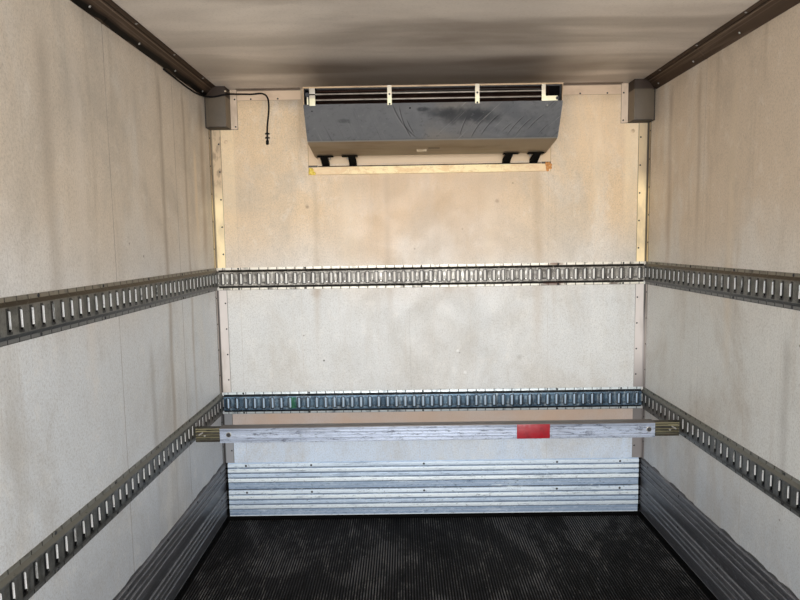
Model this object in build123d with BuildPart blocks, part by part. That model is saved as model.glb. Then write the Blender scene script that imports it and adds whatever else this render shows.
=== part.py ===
from build123d import *
import math
import os

os.makedirs("parts", exist_ok=True)

# Refrigerated truck body: an insulated cargo box on its two long sills, with a nose-mounted
# refrigeration unit. +X is right, +Y is forward, +Z is up. The origin is below the middle of the
# body, on the plane that the sills stand on. All sizes are in millimetres.

# Load space, body and panels
room_width = 2413.0
room_height = 2445.0
body_length = 4877.0
wall_t = 84.5
roof_t = 95.0
floor_t = 118.0
deck_t = 7.0
trim_t = 2.0
rail_skin = 4.0

# Underframe
sill_h = 102.0
sill_w = 50.0
sill_t = 6.0
sill_gap = 864.0
sill_bolt_r = 8.5
sill_bolt_pitch = 120.0
sill_bolt_rows = (-1950.0, 1755.0)
cross_h = 76.0
cross_w = 58.0
cross_t = 5.0
cross_count = 13

# Outer rails round the roof and the floor
roof_rail_h = 112.0
bottom_rail_h = 150.0
bottom_rail_drop = 24.0

# Ribbed floor deck
rib_pitch = 25.4
rib_w = 12.0
rib_h = 5.0

# Rear frame, its doors, hinges and lock rods
frame_post = 95.0
frame_head = 45.0
frame_sill = 40.0
stop_lip = 20.0
stop_t = 15.0
door_t = 80.0
door_gap = 8.0
door_meet_gap = 20.0
seal_t = 6.0
seal_w = 24.0
seal_inset = 3.0
seal_clear = 2.0
hinge_back = 55.0
hinge_r = 12.0
hinge_pin_r = 7.0
hinge_bore_r = 8.0
hinge_h = 50.0
hinge_ear_h = 20.0
hinge_gap = 0.5
hinge_strap = 320.0
strap_t = 8.0
hinge_count = 4
hinge_first = 260.0
hinge_last = 205.0
rod_r = 13.5
rod_stand = 22.0
rod_from_edge = 190.0
rod_past_door = 32.0
rod_guide_h = 70.0
rod_guide_foot = 22.0
rod_guide_wall = 6.0
rod_guide_up = 160.0
lever_level = 1010.0
lever_length = 460.0
lever_h = 32.0
lever_t = 12.0
lever_grip = 60.0
keeper_t = 12.0
keeper_clear = 6.0
keeper_in = 22.0
keeper_over = 4.0
bumper_w = 300.0
bumper_h = 100.0
bumper_t = 60.0
bumper_lift = 18.0
bumper_inset = 60.0

# Logistic rails: a hat section with upright slots
track_h = 127.0
track_depth = 12.7
track_t = 2.7
track_web = 78.0
track_foot = 100.0
slot_w = 12.7
slot_h = 60.3
slot_pitch = 50.8
upper_track = 1411.2
lower_track = 697.6
first_slots = {"left_upper": 48.8, "right_upper": 27.8, "left_lower": 16.8, "right_lower": 16.8}
rear_gap = 12.0

# Scuff plates: two rows of ridged aluminium
scuff_low = 25.0
scuff_row = 160.0
scuff_t = 4.0
scuff_ridge = 8.0
ridge_pitch = 26.5
ridge_foot = 15.0
ridge_crest = 7.0
ridge_first = 22.0
ridge_count = 4
scuff_short = 19.0

# Coves, corner boxes and trims in the corners of the load space
cove_drop = 55.0
cove_in = 70.0
box_w = 118.0
box_drop = 213.0
box_depth = 90.0
box_flange = 39.0
box_back = 22.0
box_step = 16.0
corner_leg = 57.5
corner_return = 30.0
header_drop = 58.0
header_gap = 30.0

# Evaporator, with its levels measured down from the ceiling
evap_w = 1236.0
evap_skin = 3.0
evap_top = 100.0
evap_lip = 107.0
evap_face_top = 183.0
evap_face_bottom = 343.0
evap_back_low = 379.0
evap_reach = 447.0
evap_knee = 350.0
evap_back = 107.0
outlet_end = 53.0
duct_low = 405.0
core_clear = 30.0
flange_w = 52.0
flange_t = 12.0
flange_low = 466.0
flange_high = 422.0
bar_h = 9.0
bar_d = 8.0
bar_in = 2.0
bar_levels = (162.0, 135.0)
strap_w = 24.0
strap_foot = 8.0
strap_places = (-198.0, 212.0)
bracket_w = 60.0
bracket_h = 14.0
bracket_nose = 30.0
bracket_places = (-560.0, -430.0, 430.0, 560.0)

# Sensor lead
lead_d = 9.0
lead_gap = 0.5
lead_end_in = 316.5
lead_end_drop = 271.0
clip_w = 26.0
clip_h = 8.0
clip_clear = 0.3
clip_levels = (12.0, 34.0)
probe_r = 8.0
probe_h = 26.0

# Load beam between the lower side tracks
beam_back = 474.0
beam_level = 668.0
beam_h = 76.0
beam_d = 54.0
beam_wall = 3.0
beam_short = 136.5
beam_groove = 3.0
beam_groove_h = 6.0
beam_groove_pitch = 15.0
beam_groove_count = 4
beam_fit = 0.5
end_insert = 160.0
end_plate = 6.0
end_gap = 2.0
end_travel = 30.0
tongue_w = 10.0
tongue_h = 40.0
tongue_in = 9.0
tongue_gap = 0.5

# Nose unit outside the front wall
unit_w = 1880.0
unit_h = 640.0
unit_depth = 430.0
unit_below_top = 40.0
unit_brow = (120.0, 60.0)
unit_chin = (60.0, 40.0)
port_drop = 15.0
fan_r = 205.0
fan_pocket_r = 232.0
fan_pocket_depth = 190.0
fan_from_edge = 380.0
fan_blades = 6
fan_pitch = 28.0
fan_blade_t = 3.0
fan_hub_r = 48.0
fan_hub_h = 46.0
fan_back_gap = 40.0
fan_gap = 0.4
fan_boss_r = 36.0
guard_in = 10.0
guard_t = 6.0
guard_ring_w = 8.0
guard_rings = (231.5, 150.0, 68.0)
coil_w = 900.0
coil_h = 420.0
coil_recess = 60.0
coil_from_edge = 110.0
louvre_pitch = 30.0
louvre_fall = 19.0
louvre_t = 3.0
louvre_in = (50.0, 8.0)

# Lamps
lamp_w = 96.0
lamp_h = 26.0
lamp_t = 16.0
lamp_drop = 56.0
front_lamp_in = 175.0
rear_lamp_in = 145.0
centre_lamps = (-200.0, 0.0, 200.0)
tail_r = 52.0
tail_pitch = 130.0
tail_from_bumper = 185.0

# Places worked out from the sizes above
half_room = room_width / 2
half_out = half_room + wall_t
half_skin = half_out + rail_skin
z_cross = sill_h
z_pan = z_cross + cross_h
z_deck = z_pan + floor_t
z_floor = z_deck + deck_t + rib_h
z_ceiling = z_floor + room_height
z_top = z_ceiling + roof_t
rear_reach = hinge_back + hinge_r
overall_length = unit_depth + body_length + rear_reach
y_nose = overall_length / 2
y_skin = y_nose - unit_depth
y_in = y_skin - wall_t
y_rear = y_skin - body_length
recess_depth = door_t + seal_t + seal_clear
y_stop = y_rear + recess_depth
y_frame = y_stop + stop_t
side_start = y_frame + rear_gap
sides = (("left", -1), ("right", 1))


def save(builder, name):
    builder.part.label = name
    export_step(builder.part, f"parts/{name}.step")


def block(x_span, y_span, z_span, mode=Mode.ADD):
    """A plain block between the ends of three spans."""
    spans = (x_span, y_span, z_span)
    sizes = [abs(high - low) for low, high in spans]
    centre = tuple((low + high) / 2 for low, high in spans)
    with Locations(centre):
        Box(*sizes, mode=mode)


def upright(points, z_low, z_high, mode=Mode.ADD):
    """An outline in plan, given as (x, y) points, raised from one height to another."""
    with BuildSketch(Plane.XY.offset(z_low)) as profile:
        Polygon(*points, align=None)
    extrude(profile.sketch, amount=z_high - z_low, mode=mode)


def along_x(points, x_low, x_high, mode=Mode.ADD):
    """A cross-section of (y, z) points, run from one x to another."""
    with BuildSketch(Plane.YZ.offset(x_low)) as profile:
        Polygon(*points, align=None)
    extrude(profile.sketch, amount=x_high - x_low, mode=mode)


def along_y(points, y_low, y_high, mode=Mode.ADD):
    """A cross-section of (x, z) points, run from one y to another."""
    with BuildSketch(Plane.XZ.offset(-y_high)) as profile:
        Polygon(*points, align=None)
    extrude(profile.sketch, amount=y_high - y_low, mode=mode)


# Long sills: channels with their backs outward, bolted down through their lower flanges
sill_y = (y_rear + rail_skin, y_skin - rail_skin)
with BuildPart() as sills:
    for side, hand in sides:
        back = hand * sill_gap / 2
        inner = back - hand * sill_w
        along_y(
            [
                (back, 0),
                (inner, 0),
                (inner, sill_t),
                (back - hand * sill_t, sill_t),
                (back - hand * sill_t, sill_h - sill_t),
                (inner, sill_h - sill_t),
                (inner, sill_h),
                (back, sill_h),
            ],
            *sill_y,
        )
        bolt_x = back - hand * (sill_w + sill_t) / 2
        for row in sill_bolt_rows:
            with BuildSketch(Plane.XY):
                with Locations((bolt_x, row)):
                    with GridLocations(0, sill_bolt_pitch, 1, 2):
                        Circle(sill_bolt_r)
            extrude(amount=sill_t, mode=Mode.SUBTRACT)
save(sills, "sills")

# Crossmembers: one I-section after another on the sills
cross_first = y_rear + frame_post + cross_w
cross_step = (body_length - 2 * frame_post - cross_w) / (cross_count - 1)
with BuildPart() as crossmembers:
    for number in range(cross_count):
        mid = cross_first + number * cross_step
        foot, web = cross_w / 2, cross_t / 2
        half_profile = [
            (foot, 0),
            (foot, cross_t),
            (web, cross_t),
            (web, cross_h - cross_t),
            (foot, cross_h - cross_t),
            (foot, cross_h),
        ]
        right_edge = [(mid + y, z_cross + z) for y, z in half_profile]
        left_edge = [(mid - y, z_cross + z) for y, z in reversed(half_profile)]
        along_x(right_edge + left_edge, -half_out + rail_skin, half_out - rail_skin)
save(crossmembers, "crossmembers")

# Insulated floor pan
with BuildPart() as floor_panel:
    block((-half_room, half_room), (y_frame, y_in), (z_pan, z_deck))
save(floor_panel, "floor_panel")

# Ribbed floor deck, one comb-shaped section
rib_count = int((room_width - rib_w) / rib_pitch)
with BuildPart() as floor_deck:
    comb = [(-half_room, z_deck), (-half_room, z_deck + deck_t)]
    for number in range(rib_count):
        rib_mid = (number - (rib_count - 1) / 2) * rib_pitch
        low, high = z_deck + deck_t, z_floor
        left_foot, right_foot = rib_mid - rib_w / 2, rib_mid + rib_w / 2
        comb += [(left_foot, low), (left_foot, high), (right_foot, high), (right_foot, low)]
    comb += [(half_room, z_deck + deck_t), (half_room, z_deck)]
    along_y(comb, y_frame, y_in)
save(floor_deck, "floor_deck")

# Side walls, one insulated panel each
for side, hand in sides:
    with BuildPart() as wall:
        block((hand * half_room, hand * half_out), (y_frame, y_in), (z_pan, z_ceiling))
    save(wall, f"wall_{side}")

# Front wall with the evaporator's opening
half_evap = evap_w / 2
duct_half = half_evap - evap_skin
duct_z = (z_ceiling - duct_low, z_ceiling - evap_top - evap_skin)
with BuildPart() as wall_front:
    block((-half_room, half_room), (y_in, y_skin), (z_pan, z_ceiling))
    block(
        (-duct_half, duct_half),
        (y_in, y_skin),
        duct_z,
        mode=Mode.SUBTRACT,
    )
save(wall_front, "wall_front")

# Rounded corner posts between the front wall and the side walls
with BuildPart() as corner_posts:
    for side, hand in sides:
        with BuildSketch(Plane.XY.offset(z_pan)):
            with BuildLine():
                corner = (hand * half_room, y_in)
                Line(corner, (hand * half_out, y_in))
                RadiusArc((hand * half_out, y_in), (hand * half_room, y_skin), -hand * wall_t)
                Line((hand * half_room, y_skin), corner)
            make_face()
        extrude(amount=z_ceiling - z_pan)
save(corner_posts, "corner_posts")


def plan_outline(level, grow):
    """The body's outline in plan, rounded at the front corners and square at the rear."""
    side_x, front_y, radius = half_out + grow, y_skin + grow, wall_t + grow
    with BuildSketch(Plane.XY.offset(level)) as outline:
        with BuildLine():
            Line((side_x, y_frame), (side_x, front_y - radius))
            RadiusArc((side_x, front_y - radius), (side_x - radius, front_y), -radius)
            Line((side_x - radius, front_y), (radius - side_x, front_y))
            RadiusArc((radius - side_x, front_y), (-side_x, front_y - radius), -radius)
            Line((-side_x, front_y - radius), (-side_x, y_frame))
            Line((-side_x, y_frame), (side_x, y_frame))
        make_face()
    return outline.sketch


# Insulated roof over all the walls
with BuildPart() as roof_panel:
    extrude(plan_outline(z_ceiling, 0), amount=roof_t)
save(roof_panel, "roof_panel")

# Outer rails that wrap round three sides, at the roof and at the floor
skin_bands = (
    ("roof_rail", z_top - roof_rail_h, roof_rail_h),
    ("bottom_rail", z_pan - bottom_rail_drop, bottom_rail_h),
)
for band_name, band_low, band_h in skin_bands:
    with BuildPart() as skin_band:
        extrude(plan_outline(band_low, rail_skin), amount=band_h)
        extrude(plan_outline(band_low, 0), amount=band_h, mode=Mode.SUBTRACT)
    save(skin_band, band_name)

# Rear frame: posts, header and threshold in one, with a stop that the doors close against
post_x = half_skin - frame_post
recess_z = (z_floor - frame_sill, z_ceiling - frame_head)
stop_z = (z_floor, recess_z[1] - stop_lip)
stop_x = post_x - stop_lip
with BuildPart() as rear_frame:
    block((-half_skin, half_skin), (y_rear, y_frame), (z_cross, z_top))
    block((-post_x, post_x), (y_rear, y_stop), recess_z, mode=Mode.SUBTRACT)
    block((-stop_x, stop_x), (y_rear, y_frame), stop_z, mode=Mode.SUBTRACT)
    header_edge = rear_frame.edges().filter_by(Axis.X).group_by(Axis.Z)[-1]
    chamfer(header_edge.sort_by(Axis.Y)[0], length=12)
save(rear_frame, "rear_frame")

# Rubber dock bumpers on the rear frame's lower beam
bumper_z = (z_cross + bumper_lift, z_cross + bumper_lift + bumper_h)
bumper_x = half_skin - bumper_inset - bumper_w / 2
with BuildPart() as dock_bumpers:
    for side, hand in sides:
        block(
            (hand * bumper_x - bumper_w / 2, hand * bumper_x + bumper_w / 2),
            (y_rear - bumper_t, y_rear),
            bumper_z,
        )
    fillet(dock_bumpers.edges().filter_by(Axis.X).group_by(Axis.Y)[0], radius=14)
save(dock_bumpers, "dock_bumpers")

# Doors, drawn where they stand: swung right round and lying back along the body's sides.
# From the hinge pin, "along" runs forward over the door and "out" runs away from the side wall.
pin_x = half_skin
pin_y = y_rear - hinge_back
door_near = pin_x - post_x + door_gap
door_far = pin_x - door_meet_gap / 2
door_out = (hinge_back, hinge_back + door_t)
door_z = (recess_z[0] + door_gap, recess_z[1] - door_gap)
hinge_step = (room_height - hinge_first - hinge_last) / (hinge_count - 1)
hinge_levels = [z_floor + hinge_first + number * hinge_step for number in range(hinge_count)]
rod_along = door_far - rod_from_edge
rod_out = hinge_back - rod_stand
rod_z = (door_z[0] - rod_past_door, door_z[1] + rod_past_door)
guide_levels = [level + rod_guide_up for level in hinge_levels[:-1]]
guide_levels.append(hinge_levels[-1] - rod_guide_h / 2)


def swung(hand, along, out):
    return (hand * (pin_x + out), pin_y + along)


def door_block(hand, along, out, z_span, mode=Mode.ADD):
    near, far = swung(hand, along[0], out[0]), swung(hand, along[1], out[1])
    block((near[0], far[0]), (near[1], far[1]), z_span, mode=mode)


for side, hand in sides:
    with BuildPart() as door_panel:
        door_block(hand, (door_near, door_far), door_out, door_z)
        fillet(door_panel.edges().filter_by(Axis.Z), radius=6)
    save(door_panel, f"door_{side}")

    ring = (door_near + seal_inset, door_far - seal_inset)
    ring_z = (door_z[0] + seal_inset, door_z[1] - seal_inset)
    ring_out = (door_out[1], door_out[1] + seal_t)
    with BuildPart() as door_seal:
        door_block(hand, ring, ring_out, ring_z)
        door_block(
            hand,
            (ring[0] + seal_w, ring[1] - seal_w),
            ring_out,
            (ring_z[0] + seal_w, ring_z[1] - seal_w),
            mode=Mode.SUBTRACT,
        )
    save(door_seal, f"door_seal_{side}")

    # Cranked straps with a bored knuckle, so that the door can swing right round
    with BuildPart() as straps:
        outline = [
            (-4, hinge_r - strap_t - 8),
            (20, hinge_r - strap_t),
            (door_near - 6, hinge_back - strap_t),
            (hinge_strap, hinge_back - strap_t),
            (hinge_strap, hinge_back),
            (door_near - 12, hinge_back),
            (8, hinge_r),
            (-4, hinge_r - 2),
        ]
        for level in hinge_levels:
            low = level - hinge_h / 2
            upright([swung(hand, *point) for point in outline], low, low + hinge_h)
            with BuildSketch(Plane.XY.offset(low)):
                with Locations(swung(hand, 0, 0)):
                    Circle(hinge_r)
            extrude(amount=hinge_h)
            with BuildSketch(Plane.XY.offset(low)):
                with Locations(swung(hand, 0, 0)):
                    Circle(hinge_bore_r)
            extrude(amount=hinge_h, mode=Mode.SUBTRACT)
    save(straps, f"hinge_straps_{side}")

    # Lock rod with its guides and lever, on the door's outer face
    with BuildPart() as lock_rod:
        with BuildSketch(Plane.XY.offset(rod_z[0])):
            with Locations(swung(hand, rod_along, rod_out)):
                Circle(rod_r)
        extrude(amount=rod_z[1] - rod_z[0])
        for level in guide_levels:
            guide_z = (level - rod_guide_h / 2, level + rod_guide_h / 2)
            reach = rod_r + rod_guide_foot
            door_block(
                hand,
                (rod_along - reach, rod_along + reach),
                (hinge_back - rod_guide_wall, hinge_back),
                guide_z,
            )
            reach = rod_r + rod_guide_wall
            door_block(
                hand,
                (rod_along - reach, rod_along + reach),
                (rod_out - reach, hinge_back),
                guide_z,
            )
        lever_mid = z_floor + lever_level
        lever_z = (lever_mid - lever_h / 2, lever_mid + lever_h / 2)
        lever_end = rod_along - lever_length
        lever_out = rod_out - lever_t / 2
        door_block(hand, (lever_end, rod_along), (lever_out, lever_out + lever_t), lever_z)
        door_block(
            hand,
            (lever_end, lever_end + lever_grip),
            (lever_out, hinge_back),
            (lever_z[0] - 24, lever_z[0]),
        )
    save(lock_rod, f"lock_rod_{side}")

# Hinge brackets on the rear frame: two ears and a pin for each strap
with BuildPart() as hinge_brackets:
    for side, hand in sides:
        for middle in hinge_levels:
            knuckle = hinge_h / 2 + hinge_gap
            for end in (-1, 1):
                low, high = sorted((middle + end * knuckle, middle + end * (knuckle + hinge_ear_h)))
                block(
                    (hand * (pin_x - hinge_r), hand * (pin_x - hinge_r - 24)),
                    (pin_y, y_rear),
                    (low, high),
                )
                block(
                    (hand * (pin_x - hinge_r), hand * pin_x),
                    (pin_y - hinge_r, y_rear),
                    (low, high),
                )
            with BuildSketch(Plane.XY.offset(middle - knuckle - hinge_ear_h)):
                with Locations((hand * pin_x, pin_y)):
                    Circle(hinge_pin_r)
            extrude(amount=2 * (knuckle + hinge_ear_h))
save(hinge_brackets, "hinge_brackets")

# Keepers for the lock rods' cams, above and below each closed door
closed_rod_x = pin_x - rod_along
keeper_reach = rod_stand + rod_r
keeper_spans = (
    (rod_z[0] - keeper_over, rod_z[0] + keeper_in),
    (rod_z[1] - keeper_in, rod_z[1] + keeper_over),
)
with BuildPart() as keepers:
    for side, hand in sides:
        for span in keeper_spans:
            for edge in (-1, 1):
                near = hand * closed_rod_x + edge * (rod_r + keeper_clear)
                block((near, near + edge * keeper_t), (y_rear - keeper_reach, y_rear), span)
save(keepers, "keepers")

# Logistic tracks on the front and side walls
track_clear = track_depth + 1.0
track_spans = {
    "front": (-half_room + track_clear, half_room - track_clear),
    "left": (side_start, y_in),
    "right": (side_start, y_in),
}


def slots_in(length):
    """How many slots fit a length of track."""
    return int((length - slot_w) / slot_pitch) + 1


def hat_section(wall_at, into_room, middle):
    """The track's section, as (distance across, height) points, standing on a wall."""
    outside = [
        (0, track_h / 2),
        (track_t, track_h / 2),
        (track_t, track_foot / 2),
        (track_depth, track_web / 2),
    ]
    inside = [(track_depth - track_t, track_web / 2 - track_t), (0, track_foot / 2 - track_t)]
    upper = outside + [(across, -up) for across, up in reversed(outside)]
    lower = [(across, -up) for across, up in reversed(inside)] + inside
    return [(wall_at + into_room * across, middle + up) for across, up in upper + lower]


for level_name, level in (("upper", upper_track), ("lower", lower_track)):
    middle = z_floor + level
    for wall_name, (start, end) in track_spans.items():
        track_name = f"{wall_name}_{level_name}"
        if track_name in first_slots:
            inset = first_slots[track_name] - slot_w / 2
        else:
            inset = (end - start - slot_w) % slot_pitch / 2
        slot_count = slots_in(end - start - inset)
        row_middle = end - inset - slot_w / 2 - (slot_count - 1) / 2 * slot_pitch
        with BuildPart() as track:
            if wall_name == "front":
                along_x(hat_section(y_in, -1, middle), start, end)
                slot_plane = Plane.XZ.offset(-y_in)
            else:
                hand = -1 if wall_name == "left" else 1
                along_y(hat_section(hand * half_room, -hand, middle), start, end)
                slot_plane = Plane.YZ.offset(hand * half_room)
            with BuildSketch(slot_plane):
                with Locations((row_middle, middle)):
                    with GridLocations(slot_pitch, 0, slot_count, 1):
                        Rectangle(slot_w, slot_h)
            extrude(amount=track_depth + 1, both=True, mode=Mode.SUBTRACT)
        save(track, f"track_{track_name}")


def scuff_section(wall_at, into_room):
    """Two rows of scuff plate, as (distance across, height) points, from the top down."""
    foot, crest = ridge_foot / 2, ridge_crest / 2
    points = [(0, scuff_low + 2 * scuff_row), (scuff_t, scuff_low + 2 * scuff_row)]
    for row in (1, 0):
        row_top = scuff_low + (row + 1) * scuff_row
        for number in range(ridge_count):
            mid = row_top - ridge_first - number * ridge_pitch
            points += [
                (scuff_t, mid + foot),
                (scuff_t + scuff_ridge, mid + crest),
                (scuff_t + scuff_ridge, mid - crest),
                (scuff_t, mid - foot),
            ]
    points += [(scuff_t, scuff_low), (0, scuff_low)]
    return [(wall_at + into_room * across, z_floor + up) for across, up in points]


with BuildPart() as scuff_front:
    along_x(scuff_section(y_in, -1), -half_room + scuff_short, half_room - scuff_short)
save(scuff_front, "scuff_front")
for side, hand in sides:
    with BuildPart() as scuff:
        along_y(scuff_section(hand * half_room, -hand), side_start, y_in)
    save(scuff, f"scuff_{side}")

# Coves along the ceiling, with a groove between the flange and the sloped face
cove_points = [
    (0, 0),
    (cove_in, 0),
    (cove_in, 4),
    (cove_in - 18, 7),
    (cove_in - 20, 12),
    (cove_in - 25, 12),
    (7, cove_drop - 3),
    (5, cove_drop),
    (0, cove_drop),
]
with BuildPart() as coves:
    for side, hand in sides:
        section = [(hand * (half_room - x), z_ceiling - z) for x, z in cove_points]
        along_y(section, y_frame, y_in - box_depth)
save(coves, "coves")

# Corner boxes at the front, each a folded cover with a flange on the front wall
box_low = z_ceiling - box_drop
with BuildPart() as corner_boxes:
    for side, hand in sides:
        outline = [
            (half_room, y_in),
            (half_room - box_w - box_flange, y_in),
            (half_room - box_w - box_flange, y_in - trim_t),
            (half_room - box_w, y_in - trim_t),
            (half_room - box_w, y_in - box_depth),
            (half_room - box_back, y_in - box_depth),
            (half_room - box_back, y_in - box_depth + box_step),
            (half_room, y_in - box_depth + box_step),
        ]
        upright([(hand * x, y) for x, y in outline], box_low, z_ceiling)
save(corner_boxes, "corner_boxes")

# Folded corner trims, in three lengths between the scuff plate, the tracks and the box
trim_runs = (
    (scuff_low + 2 * scuff_row, lower_track - track_h / 2),
    (lower_track + track_h / 2, upper_track - track_h / 2),
    (upper_track + track_h / 2, room_height - box_drop),
)
with BuildPart() as corner_trims:
    for side, hand in sides:
        outline = [
            (half_room, y_in),
            (half_room - corner_leg, y_in),
            (half_room - corner_leg, y_in - trim_t),
            (half_room - trim_t, y_in - trim_t),
            (half_room - trim_t, y_in - corner_return),
            (half_room, y_in - corner_return),
        ]
        for low, high in trim_runs:
            upright([(hand * x, y) for x, y in outline], z_floor + low, z_floor + high)
save(corner_trims, "corner_trims")

# Header strips under the ceiling, from the evaporator to the corner boxes
with BuildPart() as header_strips:
    for side, hand in sides:
        header_inner = half_evap + flange_w + header_gap
        ends = sorted((hand * header_inner, hand * (half_room - box_w - box_flange)))
        section = [
            (y_in, z_ceiling),
            (y_in, z_ceiling - header_drop),
            (y_in - trim_t, z_ceiling - header_drop),
            (y_in - trim_t, z_ceiling - trim_t),
            (y_in - corner_return, z_ceiling - trim_t),
            (y_in - corner_return, z_ceiling),
        ]
        along_x(section, *ends)
save(header_strips, "header_strips")

# Evaporator cover: folded sheet with a sloped face, open at the outlet and under its back edge
evap_front = y_in - evap_reach
half_outlet = half_evap - outlet_end
z_evap = z_ceiling - evap_top
z_face = z_ceiling - evap_face_top
z_knee = z_ceiling - evap_face_bottom
z_under = z_ceiling - evap_back_low


def evap_section(skin):
    """The cover's side view as (y, z) points, drawn in by the skin."""
    return [
        (y_in, z_evap - skin),
        (evap_front + skin, z_evap - skin),
        (evap_front + skin, z_face),
        (y_in - evap_knee + skin, z_knee + skin),
        (y_in - evap_back, z_under + skin),
        (y_in, z_under + skin),
    ]


with BuildPart() as evap_cover:
    along_x(evap_section(0), -half_evap, half_evap)
    along_x(evap_section(evap_skin), -duct_half, duct_half, Mode.SUBTRACT)
    block(
        (-duct_half, duct_half),
        (y_in - evap_back, y_in),
        (z_under, z_under + 2 * evap_skin),
        mode=Mode.SUBTRACT,
    )
    block(
        (-half_outlet, half_outlet),
        (evap_front, evap_front + 2 * evap_skin),
        (z_face, z_ceiling - evap_lip),
        mode=Mode.SUBTRACT,
    )
save(evap_cover, "evap_cover")

# Evaporator core: the insulated plug through the front wall with the coil on it
coil_front = evap_front + 2 * core_clear
coil_low = z_knee + core_clear
coil_turn = z_face - core_clear
coil_slope = (evap_reach - evap_knee) / (z_face - z_knee)
with BuildPart() as evap_core:
    block((-duct_half, duct_half), (y_in, y_skin), duct_z)
    section = [
        (y_in, duct_z[1]),
        (coil_front, duct_z[1]),
        (coil_front, coil_turn),
        (coil_front + coil_slope * (coil_turn - coil_low), coil_low),
        (y_in, coil_low),
    ]
    along_x(section, -half_outlet, half_outlet)
save(evap_core, "evap_core")

# Outlet bars and the pale straps over them
with BuildPart() as outlet_bars:
    for level in bar_levels:
        block(
            (-half_outlet, half_outlet),
            (evap_front + bar_in, evap_front + bar_in + bar_d),
            (z_ceiling - level - bar_h / 2, z_ceiling - level + bar_h / 2),
        )
    for place in strap_places:
        block(
            (place - strap_w / 2, place + strap_w / 2),
            (evap_front - trim_t, evap_front),
            (z_face - strap_foot, z_evap),
        )
save(outlet_bars, "outlet_bars")

# Flange round the evaporator on the front wall
with BuildPart() as evap_flange:
    for hand in (-1, 1):
        ends = sorted((hand * half_evap, hand * (half_evap + flange_w)))
        block(ends, (y_in - trim_t, y_in), (z_ceiling - flange_low, z_evap))
    block(
        (-half_evap, half_evap),
        (y_in - flange_t, y_in),
        (z_ceiling - flange_low, z_ceiling - flange_high),
    )
save(evap_flange, "evap_flange")

# Brackets that carry the cover's back edge
bracket_at = duct_z[0]
with BuildPart() as evap_brackets:
    for place in bracket_places:
        section = [
            (y_in, bracket_at),
            (y_in, bracket_at - bracket_h),
            (y_in - bracket_h, bracket_at - bracket_h),
            (y_in - evap_back, z_under - bracket_h / 2),
            (y_in - evap_back - bracket_nose, z_under - 1),
            (y_in - evap_back, z_under),
        ]
        along_x(section, place - bracket_w / 2, place + bracket_w / 2)
save(evap_brackets, "evap_brackets")

# Sensor lead: out of the left cove, over the corner box, along the header and down the wall.
# Its section has eight sides, to keep its many bends light.
lead_r = lead_d / 2
lead_wall = y_in - trim_t - lead_r - lead_gap
lead_box = y_in - box_depth - lead_r - 2 * lead_gap
lead_side = half_room - lead_r - 2 * lead_gap
lead_end_x = -half_room + lead_end_in
lead_turns = [
    (0, y_in - 641, 62),
    (0, y_in - 486, 66),
    (0, y_in - 330, 69),
    (2, y_in - 194, 67),
    (30, lead_box, 59),
    (76, lead_box - 3, 54),
    (117, lead_box - 8, 46),
    (143, y_in - 70, 37),
    (157, y_in - 33, 30),
    (193, lead_wall, 24),
    (241, lead_wall, 26),
    (289, lead_wall, 19),
    (321, lead_wall, 37),
    (327, lead_wall, 85),
    (321, lead_wall, 145),
    (311, lead_wall, 205),
    (lead_end_x + lead_side, lead_wall, lead_end_drop),
]
lead_points = [Vector(across - lead_side, y, z_ceiling - down) for across, y, down in lead_turns]
lead_radii = []
for before, here, after in zip(lead_points, lead_points[1:], lead_points[2:]):
    turn = math.radians((here - before).get_angle(after - here))
    shorter = min((here - before).length, (after - here).length)
    lead_radii.append(0.45 * shorter / math.tan(turn / 2))
with BuildPart() as sensor_lead:
    with BuildLine() as lead_path:
        FilletPolyline(*lead_points, radius=lead_radii)
    with BuildSketch(Plane(lead_points[0], z_dir=lead_points[1] - lead_points[0])):
        RegularPolygon(lead_r, 8)
    sweep()
save(sensor_lead, "sensor_lead")

# Saddle clips and the probe at the lead's end
lead_end_z = z_ceiling - lead_end_drop
with BuildPart() as sensor_clips:
    for clip_level in clip_levels:
        low = lead_end_z + clip_level - clip_h / 2
        block(
            (lead_end_x - clip_w / 2, lead_end_x + clip_w / 2),
            (lead_wall - lead_r - trim_t, y_in),
            (low, low + clip_h),
        )
        with BuildSketch(Plane.XY.offset(low)):
            with Locations((lead_end_x, lead_wall)):
                Circle(lead_r + clip_clear)
        extrude(amount=clip_h, mode=Mode.SUBTRACT)
    with BuildSketch(Plane.XY.offset(lead_end_z - probe_h)):
        with Locations((lead_end_x, y_in - probe_r)):
            Circle(probe_r)
    extrude(amount=probe_h)
save(sensor_clips, "sensor_clips")

# Load beam: a grooved aluminium tube, hung at the side tracks' nearest pair of slots
beam_slot = round((beam_back - first_slots["left_lower"]) / slot_pitch)
beam_y = y_in - first_slots["left_lower"] - beam_slot * slot_pitch
beam_z = z_floor + beam_level
beam_half = half_room - beam_short
beam_face = beam_y - beam_d / 2
beam_outline = [
    (beam_y + beam_d / 2, beam_z - beam_h / 2),
    (beam_y + beam_d / 2, beam_z + beam_h / 2),
    (beam_face, beam_z + beam_h / 2),
]
for number in range(beam_groove_count):
    mid = beam_z + ((beam_groove_count - 1) / 2 - number) * beam_groove_pitch
    beam_outline += [
        (beam_face, mid + beam_groove_h / 2),
        (beam_face + beam_groove, mid + beam_groove_h / 4),
        (beam_face + beam_groove, mid - beam_groove_h / 4),
        (beam_face, mid - beam_groove_h / 2),
    ]
beam_outline.append((beam_face, beam_z - beam_h / 2))
bore_d = beam_d - 2 * (beam_wall + beam_groove)
bore_h = beam_h - 2 * beam_wall


def beam_tube(ends, inset, mode=Mode.ADD):
    """A block along the beam, drawn in from the bore's sides by an inset."""
    across, up = bore_d / 2 - inset, bore_h / 2 - inset
    block(ends, (beam_y - across, beam_y + across), (beam_z - up, beam_z + up), mode=mode)


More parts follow.
